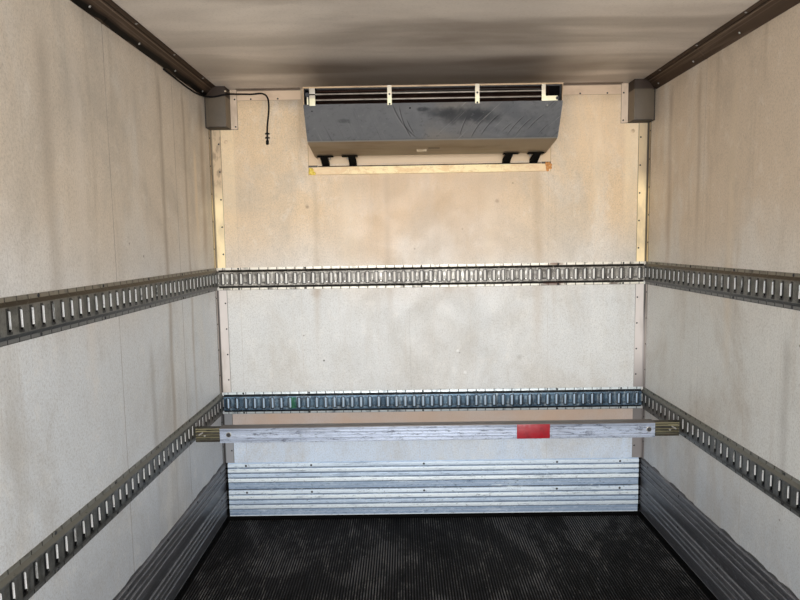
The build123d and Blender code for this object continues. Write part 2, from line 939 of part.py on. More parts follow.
with BuildPart() as load_beam:
    along_x(beam_outline, -beam_half, beam_half)
    beam_tube((-beam_half, beam_half), 0, Mode.SUBTRACT)
save(load_beam, "load_beam")

# The beam's sliding ends: a tube in the beam, a plate and a tongue through a slot
track_face = half_room - track_depth
end_shoulder = track_face - end_gap
tongue_low = z_floor + lower_track - slot_h / 2 + tongue_gap
for side, hand in sides:
    with BuildPart() as beam_end:
        ends = sorted((hand * (beam_half - end_insert), hand * end_shoulder))
        plate = sorted((hand * (end_shoulder - end_plate), hand * end_shoulder))
        tongue = sorted((hand * end_shoulder, hand * (track_face + tongue_in)))
        beam_tube(ends, beam_fit)
        beam_tube(ends, beam_fit + beam_wall, Mode.SUBTRACT)
        beam_tube(plate, beam_fit)
        block(plate, (beam_y - tongue_w, beam_y + tongue_w), (tongue_low, tongue_low + tongue_h))
        block(
            tongue,
            (beam_y - tongue_w / 2, beam_y + tongue_w / 2),
            (tongue_low, tongue_low + tongue_h),
        )
    save(beam_end, f"beam_end_{side}")

# Nose unit: a housing with a fan pocket and a louvred coil opening
unit_top = z_top - unit_below_top
unit_low = unit_top - unit_h
port_z = (unit_top + unit_low) / 2 - port_drop
fan_x = unit_w / 2 - fan_from_edge
coil_x = coil_from_edge + coil_w / 2 - unit_w / 2
coil_span = (coil_x - coil_w / 2, coil_x + coil_w / 2)
pocket_y = y_nose - fan_pocket_depth
fan_back = y_nose - fan_back_gap - fan_hub_h
unit_back = y_skin + rail_skin
with BuildPart() as unit_housing:
    section = [
        (unit_back, unit_low),
        (unit_back, unit_top),
        (y_nose - unit_brow[0], unit_top),
        (y_nose, unit_top - unit_brow[1]),
        (y_nose, unit_low + unit_chin[1]),
        (y_nose - unit_chin[0], unit_low),
    ]
    along_x(section, -unit_w / 2, unit_w / 2)
    with BuildSketch(Plane.XZ.offset(-y_nose)):
        with Locations((fan_x, port_z)):
            Circle(fan_pocket_r)
    extrude(amount=fan_pocket_depth, mode=Mode.SUBTRACT)
    block(
        coil_span,
        (y_nose - coil_recess, y_nose),
        (port_z - coil_h / 2, port_z + coil_h / 2),
        mode=Mode.SUBTRACT,
    )
    with BuildSketch(Plane.XZ.offset(-fan_back + fan_gap)):
        with Locations((fan_x, port_z)):
            Circle(fan_boss_r)
    extrude(amount=fan_back - fan_gap - pocket_y)
save(unit_housing, "unit_housing")

# Condenser fan: a hub with pitched blades, each an outline of (radius, across) points
blade_root = fan_hub_r - 10
blade_outline = [
    (blade_root, -20),
    (fan_r - 60, -52),
    (fan_r - 8, -34),
    (fan_r - 3, 4),
    (fan_r - 30, 44),
    (blade_root, 20),
]
with BuildPart() as unit_fan:
    with BuildSketch(Plane.XZ.offset(-(fan_back + fan_hub_h))):
        with Locations((fan_x, port_z)):
            Circle(fan_hub_r)
    extrude(amount=fan_hub_h)
    pitch = math.radians(fan_pitch)
    blade_middle = Vector(fan_x, fan_back + fan_hub_h / 2, port_z)
    for number in range(fan_blades):
        turn = math.radians(number * 360.0 / fan_blades)
        radial = Vector(math.sin(turn), 0, math.cos(turn))
        across = Vector(math.cos(turn), 0, -math.sin(turn))
        facing = across * math.sin(pitch) + Vector(0, math.cos(pitch), 0)
        with BuildSketch(Plane(origin=blade_middle, x_dir=radial, z_dir=facing)):
            Polygon(*blade_outline, align=None)
        extrude(amount=fan_blade_t / 2, both=True)
save(unit_fan, "unit_fan")

# Guard over the fan: rings on three bars
with BuildPart() as unit_guard:
    with BuildSketch(Plane.XZ.offset(-(y_nose - guard_in))):
        with Locations((fan_x, port_z)):
            for ring_r in guard_rings:
                Circle(ring_r)
                Circle(ring_r - guard_ring_w, mode=Mode.SUBTRACT)
            for turn in (0, 60, 120):
                Rectangle(2 * guard_rings[0] - guard_ring_w, guard_ring_w, rotation=turn)
    extrude(amount=guard_t)
save(unit_guard, "unit_guard")

# Louvres over the coil opening
louvre_count = int(coil_h / louvre_pitch)
louvre_y = [y_nose - inward for inward in louvre_in]
with BuildPart() as unit_louvres:
    for number in range(louvre_count):
        mid = port_z + (number - (louvre_count - 1) / 2) * louvre_pitch
        high, low = mid + louvre_fall / 2, mid - louvre_fall / 2
        section = [
            (louvre_y[0], high + louvre_t / 2),
            (louvre_y[0], high - louvre_t / 2),
            (louvre_y[1], low - louvre_t / 2),
            (louvre_y[1], low + louvre_t / 2),
        ]
        along_x(section, *coil_span)
save(unit_louvres, "unit_louvres")

# Marker lamps in amber at the front, and red lamps at the rear
lamp_z = z_top - lamp_drop
front_lamp_x = half_skin - front_lamp_in
with BuildPart() as lamps_amber:
    for place in (-front_lamp_x, front_lamp_x):
        block(
            (place - lamp_w / 2, place + lamp_w / 2),
            (unit_back, unit_back + lamp_t),
            (lamp_z - lamp_h / 2, lamp_z + lamp_h / 2),
        )
    fillet(lamps_amber.edges().filter_by(Axis.Z), radius=6)
save(lamps_amber, "lamps_amber")
header_mid = (recess_z[1] + z_top) / 2
tail_x = bumper_x - bumper_w / 2 - tail_from_bumper
tail_z = (z_cross + recess_z[0]) / 2
rear_lamp_x = half_skin - rear_lamp_in
with BuildPart() as lamps_red:
    for place in (-rear_lamp_x, *centre_lamps, rear_lamp_x):
        block(
            (place - lamp_w / 2, place + lamp_w / 2),
            (y_rear - lamp_t, y_rear),
            (header_mid - lamp_h / 2, header_mid + lamp_h / 2),
        )
    with BuildSketch(Plane.XZ.offset(-y_rear)):
        for hand in (-1, 1):
            for shift in (0, tail_pitch):
                with Locations((hand * (tail_x - shift), tail_z)):
                    Circle(tail_r)
    extrude(amount=lamp_t)
save(lamps_red, "lamps_red")
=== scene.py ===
import math
import random

import bmesh
import bpy
from mathutils import Matrix, Vector


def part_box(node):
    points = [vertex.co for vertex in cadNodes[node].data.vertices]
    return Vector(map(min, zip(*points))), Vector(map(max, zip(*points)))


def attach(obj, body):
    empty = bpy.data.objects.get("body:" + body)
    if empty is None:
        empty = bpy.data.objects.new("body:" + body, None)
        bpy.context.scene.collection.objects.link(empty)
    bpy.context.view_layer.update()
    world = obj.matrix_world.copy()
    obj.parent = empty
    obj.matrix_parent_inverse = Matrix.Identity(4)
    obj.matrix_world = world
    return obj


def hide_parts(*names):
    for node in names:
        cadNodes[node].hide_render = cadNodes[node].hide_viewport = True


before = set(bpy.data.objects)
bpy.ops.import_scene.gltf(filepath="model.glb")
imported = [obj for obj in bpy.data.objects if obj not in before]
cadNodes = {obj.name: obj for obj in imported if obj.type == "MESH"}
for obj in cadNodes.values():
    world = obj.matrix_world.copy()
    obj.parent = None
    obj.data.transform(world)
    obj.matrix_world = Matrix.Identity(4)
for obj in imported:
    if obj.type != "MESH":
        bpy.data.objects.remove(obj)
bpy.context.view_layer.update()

room = {  # faces of the load space, read from the walls' nodes, in metres
    "left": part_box("wall_left")[1].x,
    "right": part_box("wall_right")[0].x,
    "front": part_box("wall_front")[0].y,
    "rear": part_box("wall_left")[0].y,
    "floor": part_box("floor_deck")[1].z,
    "ceiling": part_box("roof_panel")[0].z,
}


def tint(red, green, blue):  # a screen colour, 0 to 255, as the linear colour that nodes want
    parts = [value / 255 for value in (red, green, blue)]
    return [p / 12.92 if p <= 0.04045 else ((p + 0.055) / 1.055) ** 2.4 for p in parts] + [1.0]


class Output:  # a node's output, and plain signs work on it where it is a number
    def __init__(self, graph, socket):
        self.graph, self.socket = graph, socket

    def __abs__(self):
        return self.graph.math("ABSOLUTE", self)

    def step(self, low, high, end=1.0, start=0.0):  # a soft step from start to end
        inputs = {"Value": self, "From Min": low, "From Max": high, "To Min": start, "To Max": end}
        return self.graph.out("ShaderNodeMapRange", inputs, interpolation_type="SMOOTHSTEP")

    def band(self, low, high, soft):  # 1 between low and high
        return self.step(low - soft, low + soft) * self.step(high - soft, high + soft, 0, 1)


for sign, kind in {"add": "ADD", "sub": "SUBTRACT", "mul": "MULTIPLY", "truediv": "DIVIDE", "mod": "MODULO"}.items():
    setattr(Output, "__%s__" % sign, lambda self, other, kind=kind: self.graph.math(kind, self, other))
    setattr(Output, "__r%s__" % sign, lambda self, other, kind=kind: self.graph.math(kind, other, self))


class Graph:  # a node tree with short calls, whose inputs are plain values or other nodes' outputs
    def __init__(self, tree):
        self.tree = tree

    def feed(self, socket, value):
        if isinstance(value, Output):
            self.tree.links.new(value.socket, socket)
        else:
            socket.default_value = value

    def node(self, kind, inputs=None, **settings):
        made = self.tree.nodes.new(kind)
        for name, value in settings.items():
            setattr(made, name, value)
        for key, value in (inputs or {}).items():
            self.feed(made.inputs[key], value)
        return made

    def out(self, kind, inputs=None, output=0, **settings):
        return Output(self, self.node(kind, inputs, **settings).outputs[output])

    def math(self, operation, first, second=0.0):
        return self.out("ShaderNodeMath", {0: first, 1: second}, operation=operation)


class Finish(Graph):  # one procedural material on Object coordinates
    def __init__(self, name, colour, rough=None, shine=None, **shader):
        self.material = bpy.data.materials.new(name)
        self.material.use_nodes = True
        super().__init__(self.material.node_tree)
        self.shader = self.tree.nodes["Principled BSDF"].inputs
        self.point = self.out("ShaderNodeTexCoord", output="Object")
        split = self.node("ShaderNodeSeparateXYZ", {0: self.point}).outputs
        self.x, self.y, self.z = (Output(self, split[number]) for number in range(3))
        self.normal = None
        self.cover(tint(*colour))
        if rough is not None:
            self.rough(rough)
        if shine is not None:
            self.feed(self.shader["Specular IOR Level"], shine)
        for label, value in shader.items():
            self.feed(self.shader[label], value)

    def cover(self, colour):
        self.feed(self.shader["Base Color"], colour)
        self.now = colour

    def paint(self, share, colour):  # lays a colour over what is there
        inputs = {0: share, 6: self.now, 7: tint(*colour)}
        self.cover(self.out("ShaderNodeMix", inputs, 2, data_type="RGBA"))

    def stretched(self, stretch, shift=(0, 0, 0)):
        return self.out("ShaderNodeMapping", {"Vector": self.point, "Scale": stretch, "Location": shift})

    def noise(self, scale, stretch=(1, 1, 1), detail=4.0, rough=0.55, warp=0.0, shift=(0, 0, 0)):
        inputs = {"Vector": self.stretched(stretch, shift), "Scale": scale, "Detail": detail}
        return self.out("ShaderNodeTexNoise", dict(inputs, Roughness=rough, Distortion=warp), "Fac")

    def cells(self, scale, stretch=(1, 1, 1)):
        return self.out("ShaderNodeTexVoronoi", {"Vector": self.stretched(stretch), "Scale": scale}, "Distance")

    def rough(self, value):
        self.feed(self.shader["Roughness"], value)

    def relief(self, height, distance, strength=1.0):  # bumps in metres, added on what is there
        inputs = {"Height": height, "Distance": distance, "Strength": strength}
        if self.normal:
            inputs["Normal"] = self.normal
        self.normal = self.out("ShaderNodeBump", inputs, "Normal")
        self.feed(self.shader["Normal"], self.normal)


def swept(axis, a, b, t):  # a point of a section run along an axis
    return {"x": (t, a, b), "y": (a, t, b), "z": (a, b, t)}[axis]


def rounded(outline, radius, steps=3):  # an outline with its corners rounded, radius one or per corner
    points = []
    for number, corner in enumerate(outline):
        wanted = radius.get(number, 0) if isinstance(radius, dict) else radius
        here = Vector(corner)
        back, ahead = (Vector(outline[n % len(outline)]) - here for n in (number - 1, number + 1))
        angle = back.angle(ahead)
        if wanted <= 0 or angle > math.radians(175):
            points.append(tuple(here))
            continue
        reach = min(wanted / math.tan(angle / 2), 0.49 * back.length, 0.49 * ahead.length)
        start, end = here + back.normalized() * reach, here + ahead.normalized() * reach
        for share in (step / steps for step in range(steps + 1)):
            points.append(tuple(start * (1 - share) ** 2 + here * 2 * share * (1 - share) + end * share ** 2))
    return points


def mirrored(middle, half):  # an outline from its first half
    return [(middle - a, b) for a, b in half] + [(middle + a, b) for a, b in half[::-1]]


class Form:  # shapes gathered into one mesh, each in the finish that was last chosen
    def __init__(self):
        self.mesh = bmesh.new()
        self.finish = 0

    def take(self, made, recalculate=True):
        if recalculate:
            bmesh.ops.recalc_face_normals(made, faces=made.faces)
        for face in made.faces:
            face.material_index = self.finish
        held = bpy.data.meshes.new("held")
        made.to_mesh(held)
        self.mesh.from_mesh(held)
        made.free()
        bpy.data.meshes.remove(held)

    def soften(self, made, radius, steps):
        if radius > 0:
            sharp = [e for e in made.edges if len(e.link_faces) == 2 and e.calc_face_angle(0) > 0.4]
            bmesh.ops.bevel(made, geom=sharp, offset=radius, segments=steps, profile=0.5, affect="EDGES",
                            clamp_overlap=True)

    def block(self, low, high, radius=0.001, steps=2):
        low, high = [min(p) for p in zip(low, high)], [max(p) for p in zip(low, high)]
        made = bmesh.new()
        bmesh.ops.create_cube(made, size=1)
        for vertex in made.verts:
            vertex.co = [l + (h - l) * (c + 0.5) for l, h, c in zip(low, high, vertex.co)]
        self.soften(made, min(radius, 0.3 * min(h - l for l, h in zip(low, high))), steps)
        self.take(made)

    def blocks(self, radius, *pairs):
        for low, high in pairs:
            self.block(low, high, radius)

    def prism(self, axis, outline, start, end, radius=0.0):
        made = bmesh.new()
        rings = [[made.verts.new(swept(axis, a, b, t)) for a, b in outline] for t in (start, end)]
        for number in range(len(outline)):
            after = (number + 1) % len(outline)
            made.faces.new((rings[0][number], rings[0][after], rings[1][after], rings[1][number]))
        for ring in rings:
            made.faces.new(ring)
        self.soften(made, radius, 2)
        self.take(made)

    def turned(self, profile, at, facing, around=24):  # (radius, height) points turned about a line
        made = bmesh.new()
        turn = Vector(facing).to_track_quat("Z", "Y").to_matrix()
        rings = []
        for radius, height in profile:
            angles = [2 * math.pi * number / around for number in range(around)] if radius > 0 else [0]
            spots = [Vector((radius * math.cos(a), radius * math.sin(a), height)) for a in angles]
            rings.append([made.verts.new(Vector(at) + turn @ spot) for spot in spots])
        for first, second in zip(rings, rings[1:]):
            for number in range(around):
                after = (number + 1) % around
                corners = [first[number % len(first)], first[after % len(first)]]
                corners += [second[after % len(second)], second[number % len(second)]]
                made.faces.new(list(dict.fromkeys(corners)))
        for ring in (rings[0], rings[-1]):
            if len(ring) > 1:
                made.faces.new(ring)
        self.take(made)

    def plain(self, name):
        mesh = bpy.data.meshes.new(name)
        self.mesh.to_mesh(mesh)
        self.mesh.free()
        return mesh

    def piece(self, name, finish, slot, stands=None, body="box", crease=35):
        return dressed(name, self.plain(name), finish, stands, body, crease)


def dressed(name, mesh, finish, stands=None, body="box", crease=35):  # finish names, with spaces between
    for each in finish.split():
        mesh.materials.append(finishes[each].material)
    mesh.shade_smooth()
    mesh.set_sharp_from_angle(angle=math.radians(crease))
    made = bpy.data.objects.new(name, mesh)
    bpy.context.scene.collection.objects.link(made)
    return riding(made, stands, body)


def riding(made, stands, body="box"):
    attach(made, body)
    if stands:
        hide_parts(stands)
    return made


def coat(node, finish):  # gives a CAD node a finish and leaves its mesh alone
    materials = cadNodes[node].data.materials
    materials.clear()
    materials.append(finishes[finish].material)


def softenedNode(node, finish, slot, radius, body="box"):
    form, made = Form(), bmesh.new()
    made.from_mesh(cadNodes[node].data)
    bmesh.ops.remove_doubles(made, verts=made.verts, dist=1e-5)
    bmesh.ops.dissolve_limit(made, angle_limit=0.01, verts=made.verts, edges=made.edges)
    form.soften(made, radius, 2)
    form.take(made, recalculate=False)
    form.piece(node + "_dressed", finish, slot, node, body)


# Geometry Nodes trees, each with named sizes
def growingTree(name, **sizes):
    tree = bpy.data.node_groups.new(name, "GeometryNodeTree")
    for label, kind in {"Geometry": "Geometry", **sizes, "Finish": "Material"}.items():
        tree.interface.new_socket(name=label, in_out="INPUT", socket_type="NodeSocket" + kind)
    tree.interface.new_socket(name="Geometry", in_out="OUTPUT", socket_type="NodeSocketGeometry")
    graph = Graph(tree)
    graph.given = {socket.name: Output(graph, socket) for socket in graph.node("NodeGroupInput").outputs}
    return graph


def endTree(graph, geometry):
    real = graph.out("GeometryNodeRealizeInstances", {"Geometry": geometry})
    finished = graph.out("GeometryNodeSetMaterial", {"Geometry": real, "Material": graph.given["Finish"]})
    graph.node("NodeGroupOutput", {"Geometry": finished})
    return graph.tree


def grow(mesh, tree, finish, **sizes):  # runs a tree on a mesh and returns the plain mesh it makes
    base = bpy.data.objects.new("base", mesh)
    bpy.context.scene.collection.objects.link(base)
    modifier = base.modifiers.new("grow", "NODES")
    modifier.node_group = trees[tree]
    given = dict(sizes, Finish=finishes[finish].material)
    for item in trees[tree].interface.items_tree:
        if item.in_out == "INPUT" and item.name in given:
            modifier[item.identifier] = given[item.name]
    bpy.context.view_layer.update()
    made = bpy.data.meshes.new_from_object(base.evaluated_get(bpy.context.evaluated_depsgraph_get()))
    base.modifiers.remove(modifier)
    bpy.data.objects.remove(base)
    made.materials.clear()
    return made


def headTree(name, hexagon):  # one fixing head on each point, turned to its "facing" direction
    graph = growingTree(name, Radius="Float", Height="Float")
    radius, height = graph.given["Radius"], graph.given["Height"]
    if hexagon:
        head = graph.out("GeometryNodeMeshCylinder", {"Vertices": 6, "Radius": radius, "Depth": height}, "Mesh")
        lift = graph.out("ShaderNodeCombineXYZ", {"Z": height * 0.75})
        head = graph.out("GeometryNodeTransform", {"Geometry": head, "Translation": lift})
        inputs = {"Vertices": 14, "Radius": radius * 1.35, "Depth": height * 0.5}
        washer = graph.out("GeometryNodeMeshCylinder", inputs, "Mesh")
        join = graph.node("GeometryNodeJoinGeometry", {0: head})
        graph.feed(join.inputs[0], washer)
        head = Output(graph, join.outputs[0])
    else:
        ball = graph.out("GeometryNodeMeshUVSphere", {"Segments": 10, "Rings": 6, "Radius": 1.0}, "Mesh")
        flat = graph.out("ShaderNodeCombineXYZ", {"X": radius, "Y": radius, "Z": height})
        head = graph.out("GeometryNodeTransform", {"Geometry": ball, "Scale": flat})
    facing = graph.out("GeometryNodeInputNamedAttribute", {"Name": "facing"}, data_type="FLOAT_VECTOR")
    turn = graph.out("FunctionNodeAlignRotationToVector", {"Vector": facing}, axis="Z")
    inputs = {"Points": graph.given["Geometry"], "Instance": head, "Rotation": turn}
    return endTree(graph, graph.out("GeometryNodeInstanceOnPoints", inputs))


def rowTree():  # repeats the shape that it is given along a line
    graph = growingTree("rowOfShapes", Count="Int", Step="Vector", Weld="Float")
    given = graph.given
    line = graph.out("GeometryNodeMeshLine", {"Count": given["Count"], "Offset": given["Step"]}, mode="OFFSET")
    row = graph.out("GeometryNodeInstanceOnPoints", {"Points": line, "Instance": given["Geometry"]})
    real = graph.out("GeometryNodeRealizeInstances", {"Geometry": row})
    return endTree(graph, graph.out("GeometryNodeMergeByDistance", {"Geometry": real, "Distance": given["Weld"]}))


def wireTree():  # makes round wire along the edges that it is given
    graph = growingTree("roundWire", Radius="Float")
    curve = graph.out("GeometryNodeMeshToCurve", {"Mesh": graph.given["Geometry"]})
    inputs = {"Resolution": 8, "Radius": graph.given["Radius"]}
    inputs = {"Curve": curve, "Profile Curve": graph.out("GeometryNodeCurvePrimitiveCircle", inputs), "Fill Caps": True}
    return endTree(graph, graph.out("GeometryNodeCurveToMesh", inputs))


trees = {
    "rivet": headTree("domedRivets", False), "bolt": headTree("hexagonBolts", True),
    "row": rowTree(), "wire": wireTree(),
}


def heads(name, kind, spots, finish, radius, height, body="box"):  # spots are (point, facing) pairs
    mesh = bpy.data.meshes.new(name)
    mesh.from_pydata([spot for spot, facing in spots], [], [])
    facing = mesh.attributes.new("facing", "FLOAT_VECTOR", "POINT")
    facing.data.foreach_set("vector", [value for spot, out in spots for value in out])
    dressed(name, grow(mesh, kind, finish, Radius=radius, Height=height), finish, None, body, 40)


def wires(name, lines, closed, finish, radius, stands=None, body="box"):
    points, edges = [], []
    for line in lines:
        first = len(points)
        points += line
        edges += [(first + n, first + n + 1) for n in range(len(line) - 1)]
        if closed:
            edges.append((first + len(line) - 1, first))
    mesh = bpy.data.meshes.new(name)
    mesh.from_pydata(points, edges, [])
    dressed(name, grow(mesh, "wire", finish, Radius=radius), finish, stands, body)


def repeated(form, count, step, finish):  # a row of what a form holds, as a plain mesh
    return grow(form.plain("cell"), "row", finish, Count=count, Step=step, Weld=1e-5)


print("helpers and trees ready")


# Finishes: each one a base colour with painted layers over it, in screen colours


def agedFinish(name, base, worn, share, scale, rough=(0.35, 0.6), **shader):
    made = Finish(name, base, **shader)
    patches = made.noise(scale, detail=6, rough=0.6, warp=0.4)
    made.paint(patches.step(0.62 - share * 0.4, 0.75, 0.9), worn)
    fine = made.noise(300, detail=3, rough=0.7)
    made.paint(fine.step(0.45, 0.8, 0.35), worn)
    made.rough(made.noise(scale * 2, shift=(9, 4, 2)).step(0.3, 0.7, *rough[::-1]))
    made.relief(fine, 0.0002)
    return made


def liningFinish(wall, seams, streaks, stains=()):
    tones = lining[wall]
    made = Finish(wall + "Lining", tones["middle"], 0.42)
    line, across = (made.x, made.y) if wall == "front" else (made.y, made.x)
    up = made.z
    # the warm tan towards the top is stain and painted warm light; the bluer tint towards the bottom is painted sky
    # light
    upper = (up + made.noise(1.7) * 0.5).step(1.75, 2.35)
    made.paint(upper, tones["upper"])
    made.paint(up.step(1.15, 0.7), tones["lower"])
    mottle = made.noise(17, (1, 1, 0.7), 6, 0.75, 0.2, (2, 9, 4))
    for share, colour in (  # clouds, pale patches, smears, runs, weave, mottling, grain and specks
        (made.noise(1.9, (1, 1, 0.6), 8, 0.66, 0.7).step(0.45, 0.68, 0.48), tones["cloud"]),
        (made.noise(2.6, (1, 1, 0.45), 8, 0.66, 0.5, (4, 7, 1)).step(0.5, 0.7, 0.48), (232, 231, 226)),
        (made.noise(5.5, (1, 1, 0.16), 7, 0.62, 0.25, (8, 3, 6)).step(0.53, 0.72, 0.34), tones["cloud"]),
        (made.noise(11, (1, 1, 0.05), 7, 0.72).step(0.55, 0.74, 0.34) * up.step(1.2, 2.4, 1, 0.35), tones["run"]),
        (made.noise(46, (1, 1, 0.025), 3, 0.6, shift=(1, 3, 9)).step(0.62, 0.78, 0.22), tones["run"]),
        (made.noise(150, (1, 1, 0.7), 5, 0.8).step(0.44, 0.66, 0.34), (134, 125, 112)),
        (mottle.step(0.52, 0.7, 0.15), (140, 130, 116)), (mottle.step(0.46, 0.34, 0.18), (246, 241, 232)),
        (made.noise(420, detail=2, rough=0.8).step(0.52, 0.74, 0.34), (150, 142, 130)),
        (made.cells(7).step(0.05, 0.022) * made.noise(3.1).step(0.5, 0.56) * 0.6, (92, 76, 60)),
        (made.cells(22).step(0.06, 0.025) * made.noise(5, shift=(2, 2, 2)).step(0.55, 0.6) * 0.5, (96, 82, 66)),
    ):
        made.paint(share, colour)
    for place, width, top, bottom, strength, colour in streaks:
        wobble = (made.noise(2.6, (0, 0, 1), shift=(place, 0, 0)) - 0.5) * 0.05
        near = abs(line + wobble - place).step(width, 0)
        tall = up.step(top, top - 0.12) * up.step(bottom, bottom + 0.5)
        broken = made.noise(9, (1, 1, 0.25), shift=(place, 1, 0)).step(0.3, 0.55, strength, 0.25)
        made.paint(near * tall * broken, colour)
    for place, width, strength, colour in seams:
        seam = line.band(place - width / 2, place + width / 2, width / 3)
        made.paint(seam * strength * made.noise(6).step(0.3, 0.6, 1, 0.45), colour)
    for x, z, reach, strength, colour in stains:  # soft round stains on the front wall
        away = made.out("ShaderNodeVectorMath", {0: made.point, 1: (x, 2.1725, z)}, "Value", operation="DISTANCE")
        ragged = (made.noise(9) - 0.5) * (reach * 1.4)
        made.paint((away + ragged).step(reach, reach * 0.15, strength), colour)
    for level in ("upper", "lower"):  # painted light and shade on the wall behind the tracks' slots: bright on the front wall, bluish behind its lower track, grey shade on the side walls
        middle = room["floor"] + lining[level]
        behind = made.z.band(middle - 0.033, middle + 0.033, 0.002)
        made.paint(behind, tones["slots"][level])
        if wall == "front":
            # painted shade along both edges of each front slot
            near = made.math("PINGPONG", made.x + 5.08, 0.0254)
            made.paint(behind * near.step(0.0048, 0.0058) * 0.9, (36, 34, 32))
    # a darker brown band at the top of the wall: soot, and painted shade where the wall meets the ceiling
    under = made.z.band(room["ceiling"] - 0.09, room["ceiling"] + 0.1, 0.035)
    made.paint(under * made.noise(5).step(0.3, 0.7, *tones["sootAndShade"]), (112, 92, 72))
    if wall == "front":
        # painted shade in a warm band under the load beam
        strip = made.z.band(0.836, 0.943, 0.006)
        made.paint(strip * made.noise(4).step(0.3, 0.7, 0.6, 0.95), (208, 178, 154))
        aside = abs(made.x)
        centre = aside.step(0.75, 0.2)
        made.paint(centre * upper * 0.6, (202, 172, 138))
        made.paint(made.x.step(0.68, 0.86) * up.step(2.25, 2.45) * 0.34, (250, 218, 178))
        made.paint(centre * (1.0 - upper) * 0.14, (160, 160, 158))
        made.paint(aside.step(1.06, 1.09) * up.step(1.76, 2.3) * 0.32, (252, 230, 190))
    else:  # a dark bead over the scuff plates
        bead = made.noise(7, detail=2, shift=(6, 1, 3)).step(0.42, 0.62, 0.009)
        over = up - (room["floor"] + 0.3445 + bead)
        made.paint(over.step(0.0015, 0) * 0.85, (24, 24, 25))
    skin = across.step(*tones["skin"])
    made.paint(skin, (224, 225, 225))
    dust = skin * up.step(0.95, 0.22) * made.noise(5, (1, 1, 0.5), 7).step(0.35, 0.7, 0.45)
    made.paint(dust, (158, 150, 138))
    rain = skin * up.step(1.4, 2.75) * made.noise(14, (1, 1, 0.04), 5).step(0.52, 0.72, 0.3)
    made.paint(rain, (170, 166, 158))
    made.rough(made.noise(6, shift=(2, 5, 8)).step(0.3, 0.75, 0.55, 0.34))
    inside = 1.0 - skin
    made.relief(made.noise(150, detail=3) * inside, 0.0008)
    made.relief(made.noise(1.8, (1, 1, 0.5), 2) * inside, 0.005, 0.5)
    return made


